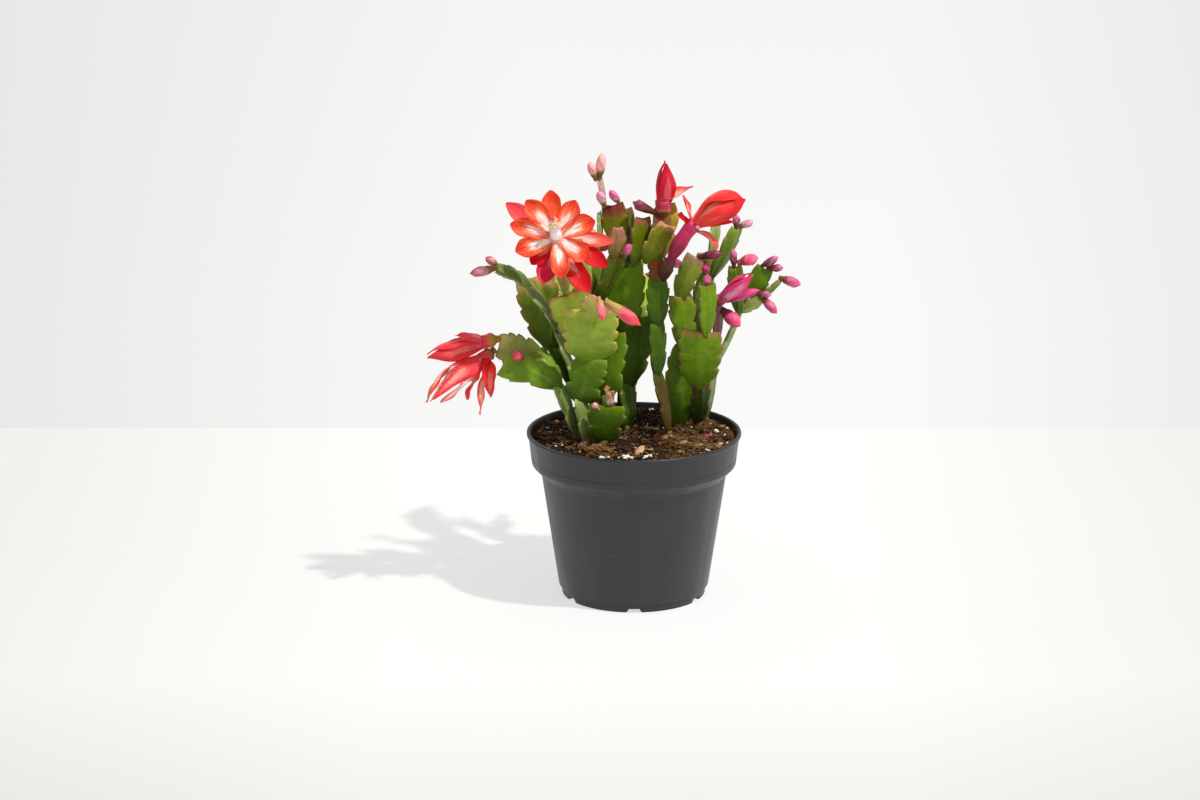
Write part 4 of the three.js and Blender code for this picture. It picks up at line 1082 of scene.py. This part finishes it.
def growBloom(piece, base, item, seed):
    first = directions(item["lean"], item["toward"])[0]
    last = directions(*item["mouth"])[0]
    bend = base + first * item["tube"][0]
    path = (base, bend, bend + last * item["tube"][1])
    radius = item["thick"] / 2
    profile = [[0, 0.5], [0.12, 0.86], [0.26, 1], [0.42, 0.9], [0.7, 0.94], [1, item["throat"] / 2 / radius]]
    look = bloomLooks[item["name"]]

    def size(share, turn):
        scales = 1 + 0.05 * math.cos(tubeBuild["cupScales"] * turn) * (1 - ramp(0.2, 0.4, share))
        ribs = 1 + 0.03 * math.cos(7 * turn + 3 * share) * ramp(0.3, 0.6, share)
        mouthIn = 1 - 0.28 * ramp(0.93, 1, share)
        return radius * profileAt(profile, share) * scales * ribs * mouthIn

    def dress(vert, share, turn):
        cup = 1 - ramp(0.18, 0.5, share + 0.07 * math.sin(turn * 2.5))
        tint = mixed(look["tube"], look["cup"], cup)
        mark(piece, vert, (tint, mixed(tint, tubeBuild["pale"], 0.55), mixed(tint, tubeBuild["dark"], 0.4)),
             along=share, across=math.sin(turn) * 1.5, seed=seed, pale=0.15 * (1 - cup),
             edge=0.25 * cup * abs(math.sin(2.5 * turn)))

    roundForm(piece, path, size, tubeBuild["sides"], tubeBuild["rings"], dress)
    growNeck(piece, base, first, radius * 0.6, look["cup"], seed)
    for number, petal in enumerate(item["petals"]):
        growPetal(piece, path, petal, item["shape"], seed + number * 1.37, look["wilted"])
    if "core" in item:
        growCore(piece, path, last, item, seed)
    if "brush" in item:
        reach, *lean = item["brush"]
        growBrush(piece, path, directions(*lean)[0] * reach, seed)


potBuild = {
    "height": 86, "rim": 55, "lip": (0.9, 2.4, 1.8), "band": 52.4, "bandHeight": 16.5, "shoulder": 5, "neck": 47.6,
    "body": 38.6, "foot": 37, "footHeight": 4.4, "footStep": 0.3, "footRing": 2, "hub": 9, "wall": 1.2,
    "floorUnder": 2.6, "floorThick": 1.4, "steps": 180, "notches": 6, "notchWidth": 7, "notchHeight": 2, "drains": 6,
    "drainRadius": 3.2, "drainCircle": 22.5, "drainSides": 32, "round": 0.55, "roundSteps": 3, "groove": 0.18,
    "grooveAbove": 4, "grooveHalf": 0.5,
}
bandFoot = potBuild["height"] - potBuild["bandHeight"]
shoulderFoot = bandFoot - potBuild["shoulder"]
floorTop = potBuild["floorUnder"] + potBuild["floorThick"]
bandTop = (potBuild["rim"] - potBuild["lip"][0], potBuild["height"] - potBuild["lip"][1])


def insideRadius(z):
    p = potBuild
    outside = [(p["body"], p["footHeight"] + p["footStep"]), (p["neck"], shoulderFoot), (p["band"], bandFoot), bandTop]
    pairs = [pair for pair in zip(outside, outside[1:]) if pair[1][1] >= z] or [(outside[2], outside[3])]
    (r0, z0), (r1, z1) = pairs[0]
    return r0 + (r1 - r0) * (z - z0) / (z1 - z0) - p["wall"]


def rounded(outline, radius, steps):  # the outline with each inner corner turned into a small arc
    made = [outline[0]]
    for before, corner, after in zip(outline, outline[1:], outline[2:]):
        a, b, c = Vector(before), Vector(corner), Vector(after)
        cut = min(radius, (a - b).length * 0.45, (c - b).length * 0.45)
        start, end = b + (a - b).normalized() * cut, b + (c - b).normalized() * cut
        for step in range(steps + 1):
            f = step / steps
            made.append(tuple(start * (1 - f) ** 2 + b * 2 * f * (1 - f) + end * f * f))
    return made + [outline[-1]]


def cutDrains(pot):
    p = potBuild
    cutter = bmesh.new()
    for i in range(p["drains"]):
        turn = (i + 0.5) * 2 * math.pi / p["drains"]
        first = len(cutter.verts)
        bmesh.ops.create_cone(cutter, cap_ends=True, segments=p["drainSides"], radius1=p["drainRadius"],
                              radius2=p["drainRadius"], depth=3 * p["floorThick"])
        cutter.verts.ensure_lookup_table()
        middle = p["floorUnder"] + p["floorThick"] / 2
        place = (p["drainCircle"] * math.cos(turn), p["drainCircle"] * math.sin(turn), middle)
        bmesh.ops.translate(cutter, verts=cutter.verts[first:], vec=place)
    holes = addObject(cutter, "drainCutters")
    drain = pot.modifiers.new("drains", "BOOLEAN")
    drain.operation, drain.object, drain.solver = "DIFFERENCE", holes, "EXACT"
    bpy.context.view_layer.objects.active = pot
    bpy.ops.object.modifier_apply(modifier=drain.name)
    bpy.data.objects.remove(holes)


def buildPot():
    p = potBuild
    piece = startPiece()
    ringInside = p["foot"] - p["footRing"]
    lineHeight = bandFoot + p["grooveAbove"]
    lineRadius = p["band"] + (bandTop[0] - p["band"]) * p["grooveAbove"] / (bandTop[1] - bandFoot)
    outline = [
        (0, 0), (p["hub"], 0), (p["hub"] + 1, p["floorUnder"]), (ringInside - 0.6, p["floorUnder"]), (ringInside, 0),
        (p["foot"], 0), (p["foot"], p["footHeight"]), (p["body"], p["footHeight"] + p["footStep"]),
        (p["neck"], shoulderFoot), (p["band"], bandFoot), (lineRadius, lineHeight - p["grooveHalf"]),
        (lineRadius - p["groove"], lineHeight), (lineRadius + 0.05, lineHeight + p["grooveHalf"]), bandTop,
        (p["rim"], p["height"] - p["lip"][2]), (p["rim"], p["height"]),
        *((insideRadius(z), z) for z in (p["height"], bandFoot, shoulderFoot, floorTop)), (0, floorTop),
    ]
    apart = 360 / p["notches"]
    for vert in stamp(piece, makeTurning, tuple(rounded(outline, p["round"], p["roundSteps"])), p["steps"]):
        radius = math.hypot(vert.co.x, vert.co.y)
        turn = math.degrees(math.atan2(vert.co.y, vert.co.x)) + 90
        off = (turn + apart / 2) % apart - apart / 2
        onRing = vert.co.z < 1 and radius > ringInside - 0.7
        if onRing and abs(off * degree * radius) < p["notchWidth"] / 2:
            vert.co.z = p["notchHeight"]
        # The inner wall and floor get edge 1, so the finish paints them with the darker inside tint as shade.
        inside = vert.co.z > floorTop - 0.1 and radius < insideRadius(vert.co.z) + 0.3
        mark(piece, vert, edge=1.0 if inside else 0.0)
    cutDrains(finishPiece(piece, "moulded_pot", "pot", "pot_plastic", "potPlastic"))


soilBuild = {
    "level": 83, "gap": 0.35, "bumps": 1.2, "mound": 0.8, "steps": 180, "rings": 60, "crumble": 1.5, "coarse": 0.9,
    "clods": 420, "clodSize": (0.45, 1.25), "smallClod": 0.8, "clodKinds": (0.55, 0.9),
    "fibres": 760, "fibreHeight": (0.2, 0.9), "fibreLength": (2, 5.5), "fibreRadius": (0.13, 0.2), "fibreBend": 0.35,
    "grainSize": (0.45, 0.5), "grainSpread": 2.2, "perlite": 26, "perliteSize": (0.3, 0.45), "perliteSquash": 0.8,
    "nestFibres": 26, "nestReach": (2.2, 2.6), "nestLength": 3.2, "nestRise": (-0.3, 1.6), "nestRadius": (0.2, 0.2),
    "nestArch": 0.6, "matHeight": (0.2, 1.3), "matLength": (2, 3), "matRadius": (0.16, 0.13), "matArch": 0.9,
    "clear": 1, "dark": "#1e1006", "brown": "#3a240e", "tan": "#7e552a", "nest": ("#4c2c14", "#946a40"),
    "fibreTints": ("#a8855a", "#c8a878", "#8a6840", "#6c4a28", "#4c3018"), "white": ("#e6ddd2", "#f4f0ea", "#b8a890"),
    # Mats of root fibre: right, back, half width, half depth, how many and tint.
    "mats": [(-19.5, -27, 7.5, 2.8, 130, "#b07a42"), (-32, -12, 5, 4, 40, "#7a4420"), (-13, -37, 5, 2.4, 40, "#a87a48"),
             (28, -10, 8, 6, 110, "#a8845a"), (33, -21, 8, 6, 110, "#b08c62"), (15, -8, 4.5, 8, 90, "#7e4624"),
             (22, -20, 7, 5, 50, "#94683c")],
    # Perlite that stands out: right, back and size.
    "clusters": [
        (-15.4, -39.5, 1.5), (-13.6, -37.6, 0.9), (-9.8, -23, 0.8), (-4.6, -40.4, 1.5), (-2.2, -40.9, 1.2),
        (6.6, -38.4, 1.4), (4.6, -40.5, 0.7), (9.4, 50, 1.1), (-44.8, 13.5, 0.7), (42.3, 7.9, 1.1), (47.6, 0.6, 1),
        (44, -17, 0.9), (29.1, 13.5, 0.8), (36, -26, 0.7), (-40, -20, 0.6), (20, 38, 0.9), (-8, 44, 1), (-34, 33, 0.8),
        (0, 30, 0.7)],
    # Scraps of wood and bark: right, back, which way they point, length, width and tint.
    "chips": [
        (2.6, -33.5, 72, 9, 4, "#c09468"), (-19, -23, 20, 8, 5, "#5c3a1c"), (-13, -27, -35, 7, 4, "#6c4522"),
        (-26, -19, 60, 7, 4.5, "#4c2c16"), (15, -12, 75, 8, 4, "#5a3a20"), (19, -7, 100, 7, 3.6, "#6a4626"),
        (38, -2, 30, 4.5, 3, "#8c2c44"), (24, -16, 10, 6, 3.4, "#8c6a44"), (32, -20, -20, 6, 3, "#a07c52"),
        (-36, -12, 140, 6, 3.6, "#54341a")],
}
soilEdge = insideRadius(soilBuild["level"]) - soilBuild["gap"]
dark, brown, tan = paints(soilBuild[key] for key in ("dark", "brown", "tan"))
white, fibreTints = paints(soilBuild["white"]), paints(soilBuild["fibreTints"])


def soilTop(x, y):
    out = math.hypot(x, y) / potBuild["band"]
    waves = math.sin(x * 0.21 + 1.3) * math.cos(y * 0.17 - 0.4) + 0.5 * math.sin(x * 0.43 - y * 0.38)
    mound = soilBuild["mound"] * (1 - out * out)
    return soilBuild["level"] + mound + soilBuild["bumps"] * 0.6 * waves * (1 - out ** 4)


lumpBuild = {"squash": 0.75, "stretch": (0.75, 0.6), "tilt": 0.8, "rough": 0.45, "roughScale": 1.7}
chipBuild = {
    "above": 1.2, "rise": 0.22, "halfThick": 0.35, "taper": 0.45, "rough": 0.25, "bow": 0.5,
    "light": (1, 0.85, 0.6, 1), "dark": (0.02, 0.01, 0.005, 1),
}


def lump(piece, place, size, seed, tints, detail=2, squash=lumpBuild["squash"]):  # a clod or grain
    p = lumpBuild
    fresh = stamp(piece, makeStone, detail)
    stretch = Vector((pick(p["stretch"], seed, 1), pick(p["stretch"], seed, 2), squash))
    tilt = Quaternion((1, 0, 0), p["tilt"] * (wobble(seed, 4) - 0.5))
    turn = Quaternion((0, 0, 1), anyTurn * wobble(seed, 3)) @ tilt
    for vert in fresh:
        rough = 1 + p["rough"] * noise.noise(vert.co * p["roughScale"] + Vector((seed * 1.31, 0, 0)))
        vert.co = place + turn @ (vert.co * stretch * size * rough)
        mark(piece, vert, tints, seed=seed)
    useSecond(fresh)


def chip(piece, x, y, angle, length, wide, code):  # a thin curved scrap
    p = chipBuild
    turn = angle * degree
    lie, side = Vector((math.cos(turn), math.sin(turn), p["rise"])), Vector((-math.sin(turn), math.cos(turn), 0))
    tint = paint(code)
    tints = (tint, mixed(tint, p["light"], 0.25), mixed(tint, p["dark"], 0.6))
    centre = above(x, y, p["above"])
    points = sheet(piece, 4, 8)
    for vert, u, share, face in points:
        taper = 1 - p["taper"] * abs(2 * share - 1) ** 3
        rough = p["rough"] * noise.noise(Vector((u * 2, share * 5, x)))
        vert.co = centre + lie * (share - 0.5) * length + side * u * wide / 2 * taper
        vert.co.z += face * p["halfThick"] + rough - p["bow"] * u * u
        mark(piece, vert, tints, seed=x)
    useSecond([point[0] for point in points])


def fibre(piece, start, end, bend, radius, tint, tanShare, seed):  # a root hair, if it ends clear of the pot
    if math.hypot(end.x, end.y) <= soilEdge - soilBuild["clear"]:
        thread(piece, start, end, bend, radius, (tint, mixed(tint, tan, tanShare), dark), steps=3, seed=seed)


def spot(number, salt):  # somewhere on the soil
    turn = number * goldenTurn + salt
    out = (soilEdge - 1.6) * math.sqrt(wobble(number, salt))
    return out * math.cos(turn), out * math.sin(turn)


def above(x, y, height=0.0):  # a point over the soil
    return Vector((x, y, soilTop(x, y) + height))


def buildGround(piece):
    s = soilBuild
    walls = [floorTop + s["gap"], shoulderFoot, bandFoot, s["level"]]
    outline = [(0, walls[0])] + [(insideRadius(z) - s["gap"], z) for z in walls]
    outline += [(soilEdge * ring / s["rings"], s["level"]) for ring in range(s["rings"] - 1, -1, -1)]
    for vert in stamp(piece, makeTurning, tuple(outline), s["steps"]):
        x, y, z = vert.co
        if z > s["level"] - 0.01:
            crumbs = noise.noise(Vector((x * 0.42, y * 0.42, 3.1))) * s["crumble"]
            crumbs += noise.noise(Vector((x * 1.1, y * 1.1, 7.7))) * s["coarse"]
            fall = 1 - ramp(soilEdge - 4, soilEdge, math.hypot(x, y)) * 0.8
            vert.co.z = soilTop(x, y) + crumbs * fall - 0.5
        # The soil turns from dark to tan towards the right, with noise.
        rightShare = ramp(0.0, 0.6, x / 60 - 0.15 + 0.6 * noise.noise(Vector((x * 0.05, y * 0.05, 1))))
        mark(piece, vert, (mixed(dark, brown, rightShare), mixed(brown, tan, rightShare), dark))


def strewSoil(piece):  # clods, then loose fibres, perlite and scraps
    s = soilBuild
    mostly, often = s["clodKinds"]
    for number in range(s["clods"]):
        size = pick(s["clodSize"], number, 6, 2)
        kind = wobble(number, 7)
        tints = (dark, brown, dark) if kind < mostly else (brown, tan, dark)
        if kind >= often:
            tints = (tan, fibreTints[0], brown)
        lump(piece, above(*spot(number, 5), 0.1), size, number, tints, 1 if size < s["smallClod"] else 2)
    for number in range(s["fibres"]):
        turn = anyTurn * wobble(number, 18)
        length = pick(s["fibreLength"], number, 19, 1.5)
        start = above(*spot(number, 17), pick(s["fibreHeight"], number, 20))
        end = start + Vector((math.cos(turn), math.sin(turn), 0)) * length
        end.z = soilTop(end.x, end.y) + pick(s["fibreHeight"], number, 24)
        tint = fibreTints[int(wobble(number, 22) * len(fibreTints))]
        bend = Vector((-math.sin(turn), math.cos(turn), 0.5)) * (wobble(number, 23) - 0.5) * length * s["fibreBend"]
        fibre(piece, start, end, bend, pick(s["fibreRadius"], number, 25, 2), tint, 0.5, number)
    for number, (x, y, size) in enumerate(s["clusters"]):
        for part in range(3):  # each one a cluster of broken grains
            near = Vector((wobble(number, part + 61) - 0.5, wobble(number, part + 64) - 0.5, 0))
            near *= s["grainSpread"] * size
            place = above(x + near.x, y + near.y, 0.25 * size)
            grain = size * pick(s["grainSize"], number, part + 67)
            lump(piece, place, grain, number + part * 40 + 500, white, squash=s["perliteSquash"])
    for number in range(s["perlite"]):
        grain = pick(s["perliteSize"], number, 36)
        lump(piece, above(*spot(number, 31), 0.2), grain, number + 700, white, squash=s["perliteSquash"])
    for scrap in s["chips"]:
        chip(piece, *scrap)


def strewRoots(piece):  # fibres round each stem's foot, and mats of them
    s = soilBuild
    nestTints = paints(s["nest"])
    for index, (_, (x, y), _) in enumerate(stems):
        for number in range(s["nestFibres"]):
            key = index * 50 + number
            turn = anyTurn * wobble(key, 41)
            near = pick(s["nestReach"], key, 42)
            start = Vector((x + near * math.cos(turn), y + near * math.sin(turn), soilTop(x, y) + 0.2))
            lean = turn + 1.7 * (wobble(key, 43) - 0.3)
            reach = Vector((math.cos(lean), math.sin(lean), 0)) * s["nestLength"]
            end = start + reach + Vector((0, 0, pick(s["nestRise"], key, 44)))
            arch, radius = Vector((0, 0, s["nestArch"])), pick(s["nestRadius"], key, 46)
            fibre(piece, start, end, arch, radius, mixed(*nestTints, wobble(key, 45)), 0.5, key)
    for index, (x, y, wide, deep, count, code) in enumerate(s["mats"]):
        for number in range(count):
            key = index * 200 + number
            far, turn = math.sqrt(wobble(key, 71)), anyTurn * wobble(key, 72)
            start = Vector((x + wide * far * math.cos(turn), y + deep * far * math.sin(turn), 0))
            lean, length = anyTurn * wobble(key, 73), pick(s["matLength"], key, 74)
            end = start + Vector((math.cos(lean), 0.6 * math.sin(lean), 0)) * length
            start.z = soilTop(start.x, start.y) + pick(s["matHeight"], key, 75)
            end.z = soilTop(end.x, end.y) + pick(s["matHeight"], key, 76)
            tint = mixed(paint(code), dark, 0.5 * wobble(key, 77))
            arch, radius = Vector((0, 0, s["matArch"] * wobble(key, 78))), pick(s["matRadius"], key, 79)
            fibre(piece, start, end, arch, radius, tint, 0.4, key)


def buildSoil():
    piece = startPiece()
    buildGround(piece)
    strewSoil(piece)
    strewRoots(piece)
    finishPiece(piece, "potting_mix", "soil", "soil", "soilMix", "soilCrumb")


clearGap = 0.5
rootBuild = {
    "depth": 14, "radius": 2.5, "collar": 2.9, "seat": 1.8, "sides": 16, "rings": 14,
    "tints": ("#5a4426", "#84693f", "#2c1c0e"),
}
counts = {"pads": 0, "buds": 0}


def seatOn(base, item, following):  # where on a pad something grows
    along, across, front = directions(item["lean"], item["toward"], item["face"])
    up = following.get("up", 1)
    seat = (base + along * item["length"] * up + across * (item["width"] / 4) * following.get("at", 0)
            + front * (item["bow"] * 4 * up * (1 - up) + following.get("off", 0)))
    if following["kind"] == "pad":
        return seat
    tilt = along.angle(directions(following["lean"], following["toward"])[0])
    foot = (0.42 * following["width"] if following["kind"] == "bud" else 0.5 * following["thick"]) / 2
    return seat + along * (clearGap + foot * (0.45 + 1.15 * math.sin(tilt)) - following.get("sink", 0))


def grow(item, base, stem):
    if item["kind"] == "pad":
        counts["pads"] += 1
        growPad(stem, base, item, counts["pads"])
        for following in item["grows"]:
            grow(following, seatOn(base, item, following), stem)
        return
    piece = startPiece()
    if item["kind"] == "bud":
        counts["buds"] += 1
        node = f"bud_{counts['buds']:02d}"
        growBud(piece, base, item, counts["buds"])
        finishPiece(piece, "furled_" + node, node, "buds", "budSkin")
    else:
        node = item["name"]
        growBloom(piece, base, item, len(node) * 1.9)
        slotName, finish = ("dry_flower", "dryPaper") if node == "dried_flower" else ("petals", "petalSilk")
        finishPiece(piece, "petals_" + node, node, slotName, finish, "stamen")


def growFoot(stem, x, y, top):  # the stem's woody collar, and its root stub in the soil
    foot = Vector((x, y, top - rootBuild["depth"]))
    collar = Vector((x, y, top + rootBuild["collar"]))
    tints = paints(rootBuild["tints"])

    def size(share, turn):
        rough = 1 + 0.12 * noise.noise(Vector((math.cos(turn) * 2, math.sin(turn) * 2, share * 9 + x)))
        return rootBuild["radius"] * (0.8 + 0.2 * share) * rough * (1 - 0.25 * ramp(0.9, 1, share))

    def dress(vert, share, turn):
        mark(stem, vert, tints, along=share, across=math.sin(turn), seed=x, pale=0.4, edge=0.3)

    roundForm(stem, (foot, (foot + collar) / 2, collar), size, rootBuild["sides"], rootBuild["rings"], dress)


def buildPlant():
    for name, (x, y), firstPad in stems:
        top = soilTop(x, y)
        stem = startPiece()
        growFoot(stem, x, y, top)
        grow(firstPad, Vector((x, y, top + rootBuild["seat"])), stem)
        finishPiece(stem, "pads_" + name, name, "pads", "padSkin", "bristle")
        print("grown", name)


buildPot()
print("pot made")
buildSoil()
print("soil made")
buildPlant()
for spare in forms.values():
    bpy.data.meshes.remove(spare)


studio = {
    "cameraPlace": (-0.0174, -2.0, 0.666), "cameraDown": 15.74, "lens": 121.8, "sensor": 36,
    "floorHalfWidth": 6, "floorBack": 0.302, "floorFront": -6, "floorGlow": 0.64, "floorTint": (0.25, 0.25, 0.245),
    "floorPatches": (3.0, 0.4, 0.7, 0.6), "floorFade": 0.8, "fadeSides": (0.12, 0.34), "fadeFront": (-0.32, -0.14),
    "keyFrom": (0.53, -0.36, 1.0), "keyAngle": 2.2, "keyStrength": 3.4, "keyTint": (1, 0.985, 0.96),
    "wallFar": (0.79, 0.785, 0.77), "wallNear": (0.955, 0.953, 0.945), "wallLeft": (-0.17, -0.02),
    "wallRight": (0.07, 0.2), "wallTop": (-0.25, -0.17), "wallTopShare": 0.75,
    "skyTint": (0.915, 0.91, 0.885), "skyLight": 0.62, "skyRight": 1.5, "skySides": (0.3, 0.95),
}


def buildFloor():
    s = studio
    bm = bmesh.new()
    bmesh.ops.create_grid(bm, x_segments=1, y_segments=1, size=1)
    for vert in bm.verts:
        vert.co.x *= s["floorHalfWidth"]
        vert.co.y = s["floorBack"] if vert.co.y > 0 else s["floorFront"]
    floor = addObject(bm, "tableTop", 1)
    # The table glows though it is no lamp: painted light, weaker towards the sides and the front.
    material, tree, shader, place = newFinish(
        "paleTable", {"Roughness": 0.9, "Emission Strength": s["floorGlow"], "Specular IOR Level": 0.0})
    darker = tuple(0.97 * part for part in s["floorTint"]) + (1,)
    tone = patched(tree, s["floorTint"] + (1,), darker, place, *s["floorPatches"])
    spot = put(tree, "ShaderNodeSeparateXYZ", None, {0: place}).outputs
    sides = remap(tree, sums(tree, "ABSOLUTE", spot["X"]), *s["fadeSides"], 1, s["floorFade"])
    front = remap(tree, spot["Y"], *s["fadeFront"], s["floorFade"], 1)
    glow = blendTint(tree, sums(tree, "MULTIPLY", sides, front), (0, 0, 0, 1), (1, 1, 0.995, 1))
    tree.links.new(tone, shader.inputs["Base Color"])
    tree.links.new(glow, shader.inputs["Emission Color"])
    floor.data.materials.append(material)


def buildSky():  # even light, and behind the plant a pale wall that only the camera sees, with painted shade that darkens it towards the sides and the top
    s = studio
    world = bpy.data.worlds.new("paleRoom")
    world.use_nodes = True
    bpy.context.scene.world = world
    sky = world.node_tree
    lit = sky.nodes["Background"]
    lit.inputs["Color"].default_value = s["skyTint"] + (1,)
    spot = put(sky, "ShaderNodeSeparateXYZ", None, {0: put(sky, "ShaderNodeTexCoord").outputs["Generated"]}).outputs
    brighter = remap(sky, spot["X"], *s["skySides"], s["skyLight"], s["skyLight"] * s["skyRight"])
    sky.links.new(brighter, lit.inputs["Strength"])
    # Painted fall-off of light: the wall is brightest near the plant and darker towards the sides and the top.
    sides = sums(sky, "MULTIPLY", remap(sky, spot["X"], *s["wallLeft"]), remap(sky, spot["X"], *s["wallRight"], 1, 0))
    near = sums(sky, "MULTIPLY", sides, remap(sky, spot["Z"], *s["wallTop"], 1, s["wallTopShare"]))
    tone = blendTint(sky, near, s["wallFar"] + (1,), s["wallNear"] + (1,))
    seen = put(sky, "ShaderNodeBackground", None, {"Color": tone, "Strength": 1.0})
    rays = put(sky, "ShaderNodeLightPath").outputs["Is Camera Ray"]
    both = put(sky, "ShaderNodeMixShader", None, {0: rays, 1: lit.outputs[0], 2: seen.outputs[0]})
    sky.links.new(both.outputs[0], sky.nodes["World Output"].inputs["Surface"])


def buildStudio():
    s = studio
    scene = bpy.context.scene
    scene.view_settings.view_transform = "Standard"
    buildFloor()
    buildSky()
    sun = bpy.data.lights.new("softKey", "SUN")
    sun.energy, sun.angle, sun.color = s["keyStrength"], s["keyAngle"] * degree, s["keyTint"]
    key = addToScene("softKey", sun)
    key.rotation_euler = Vector(s["keyFrom"]).to_track_quat("Z", "Y").to_euler()
    camera = bpy.data.cameras.new("photoView")
    camera.lens, camera.sensor_width, camera.sensor_fit = s["lens"], s["sensor"], "HORIZONTAL"
    scene.camera = addToScene("photoView", camera)
    scene.camera.location = s["cameraPlace"]
    scene.camera.rotation_euler = ((90 - s["cameraDown"]) * degree, 0, 0)


buildStudio()
print("studio set")
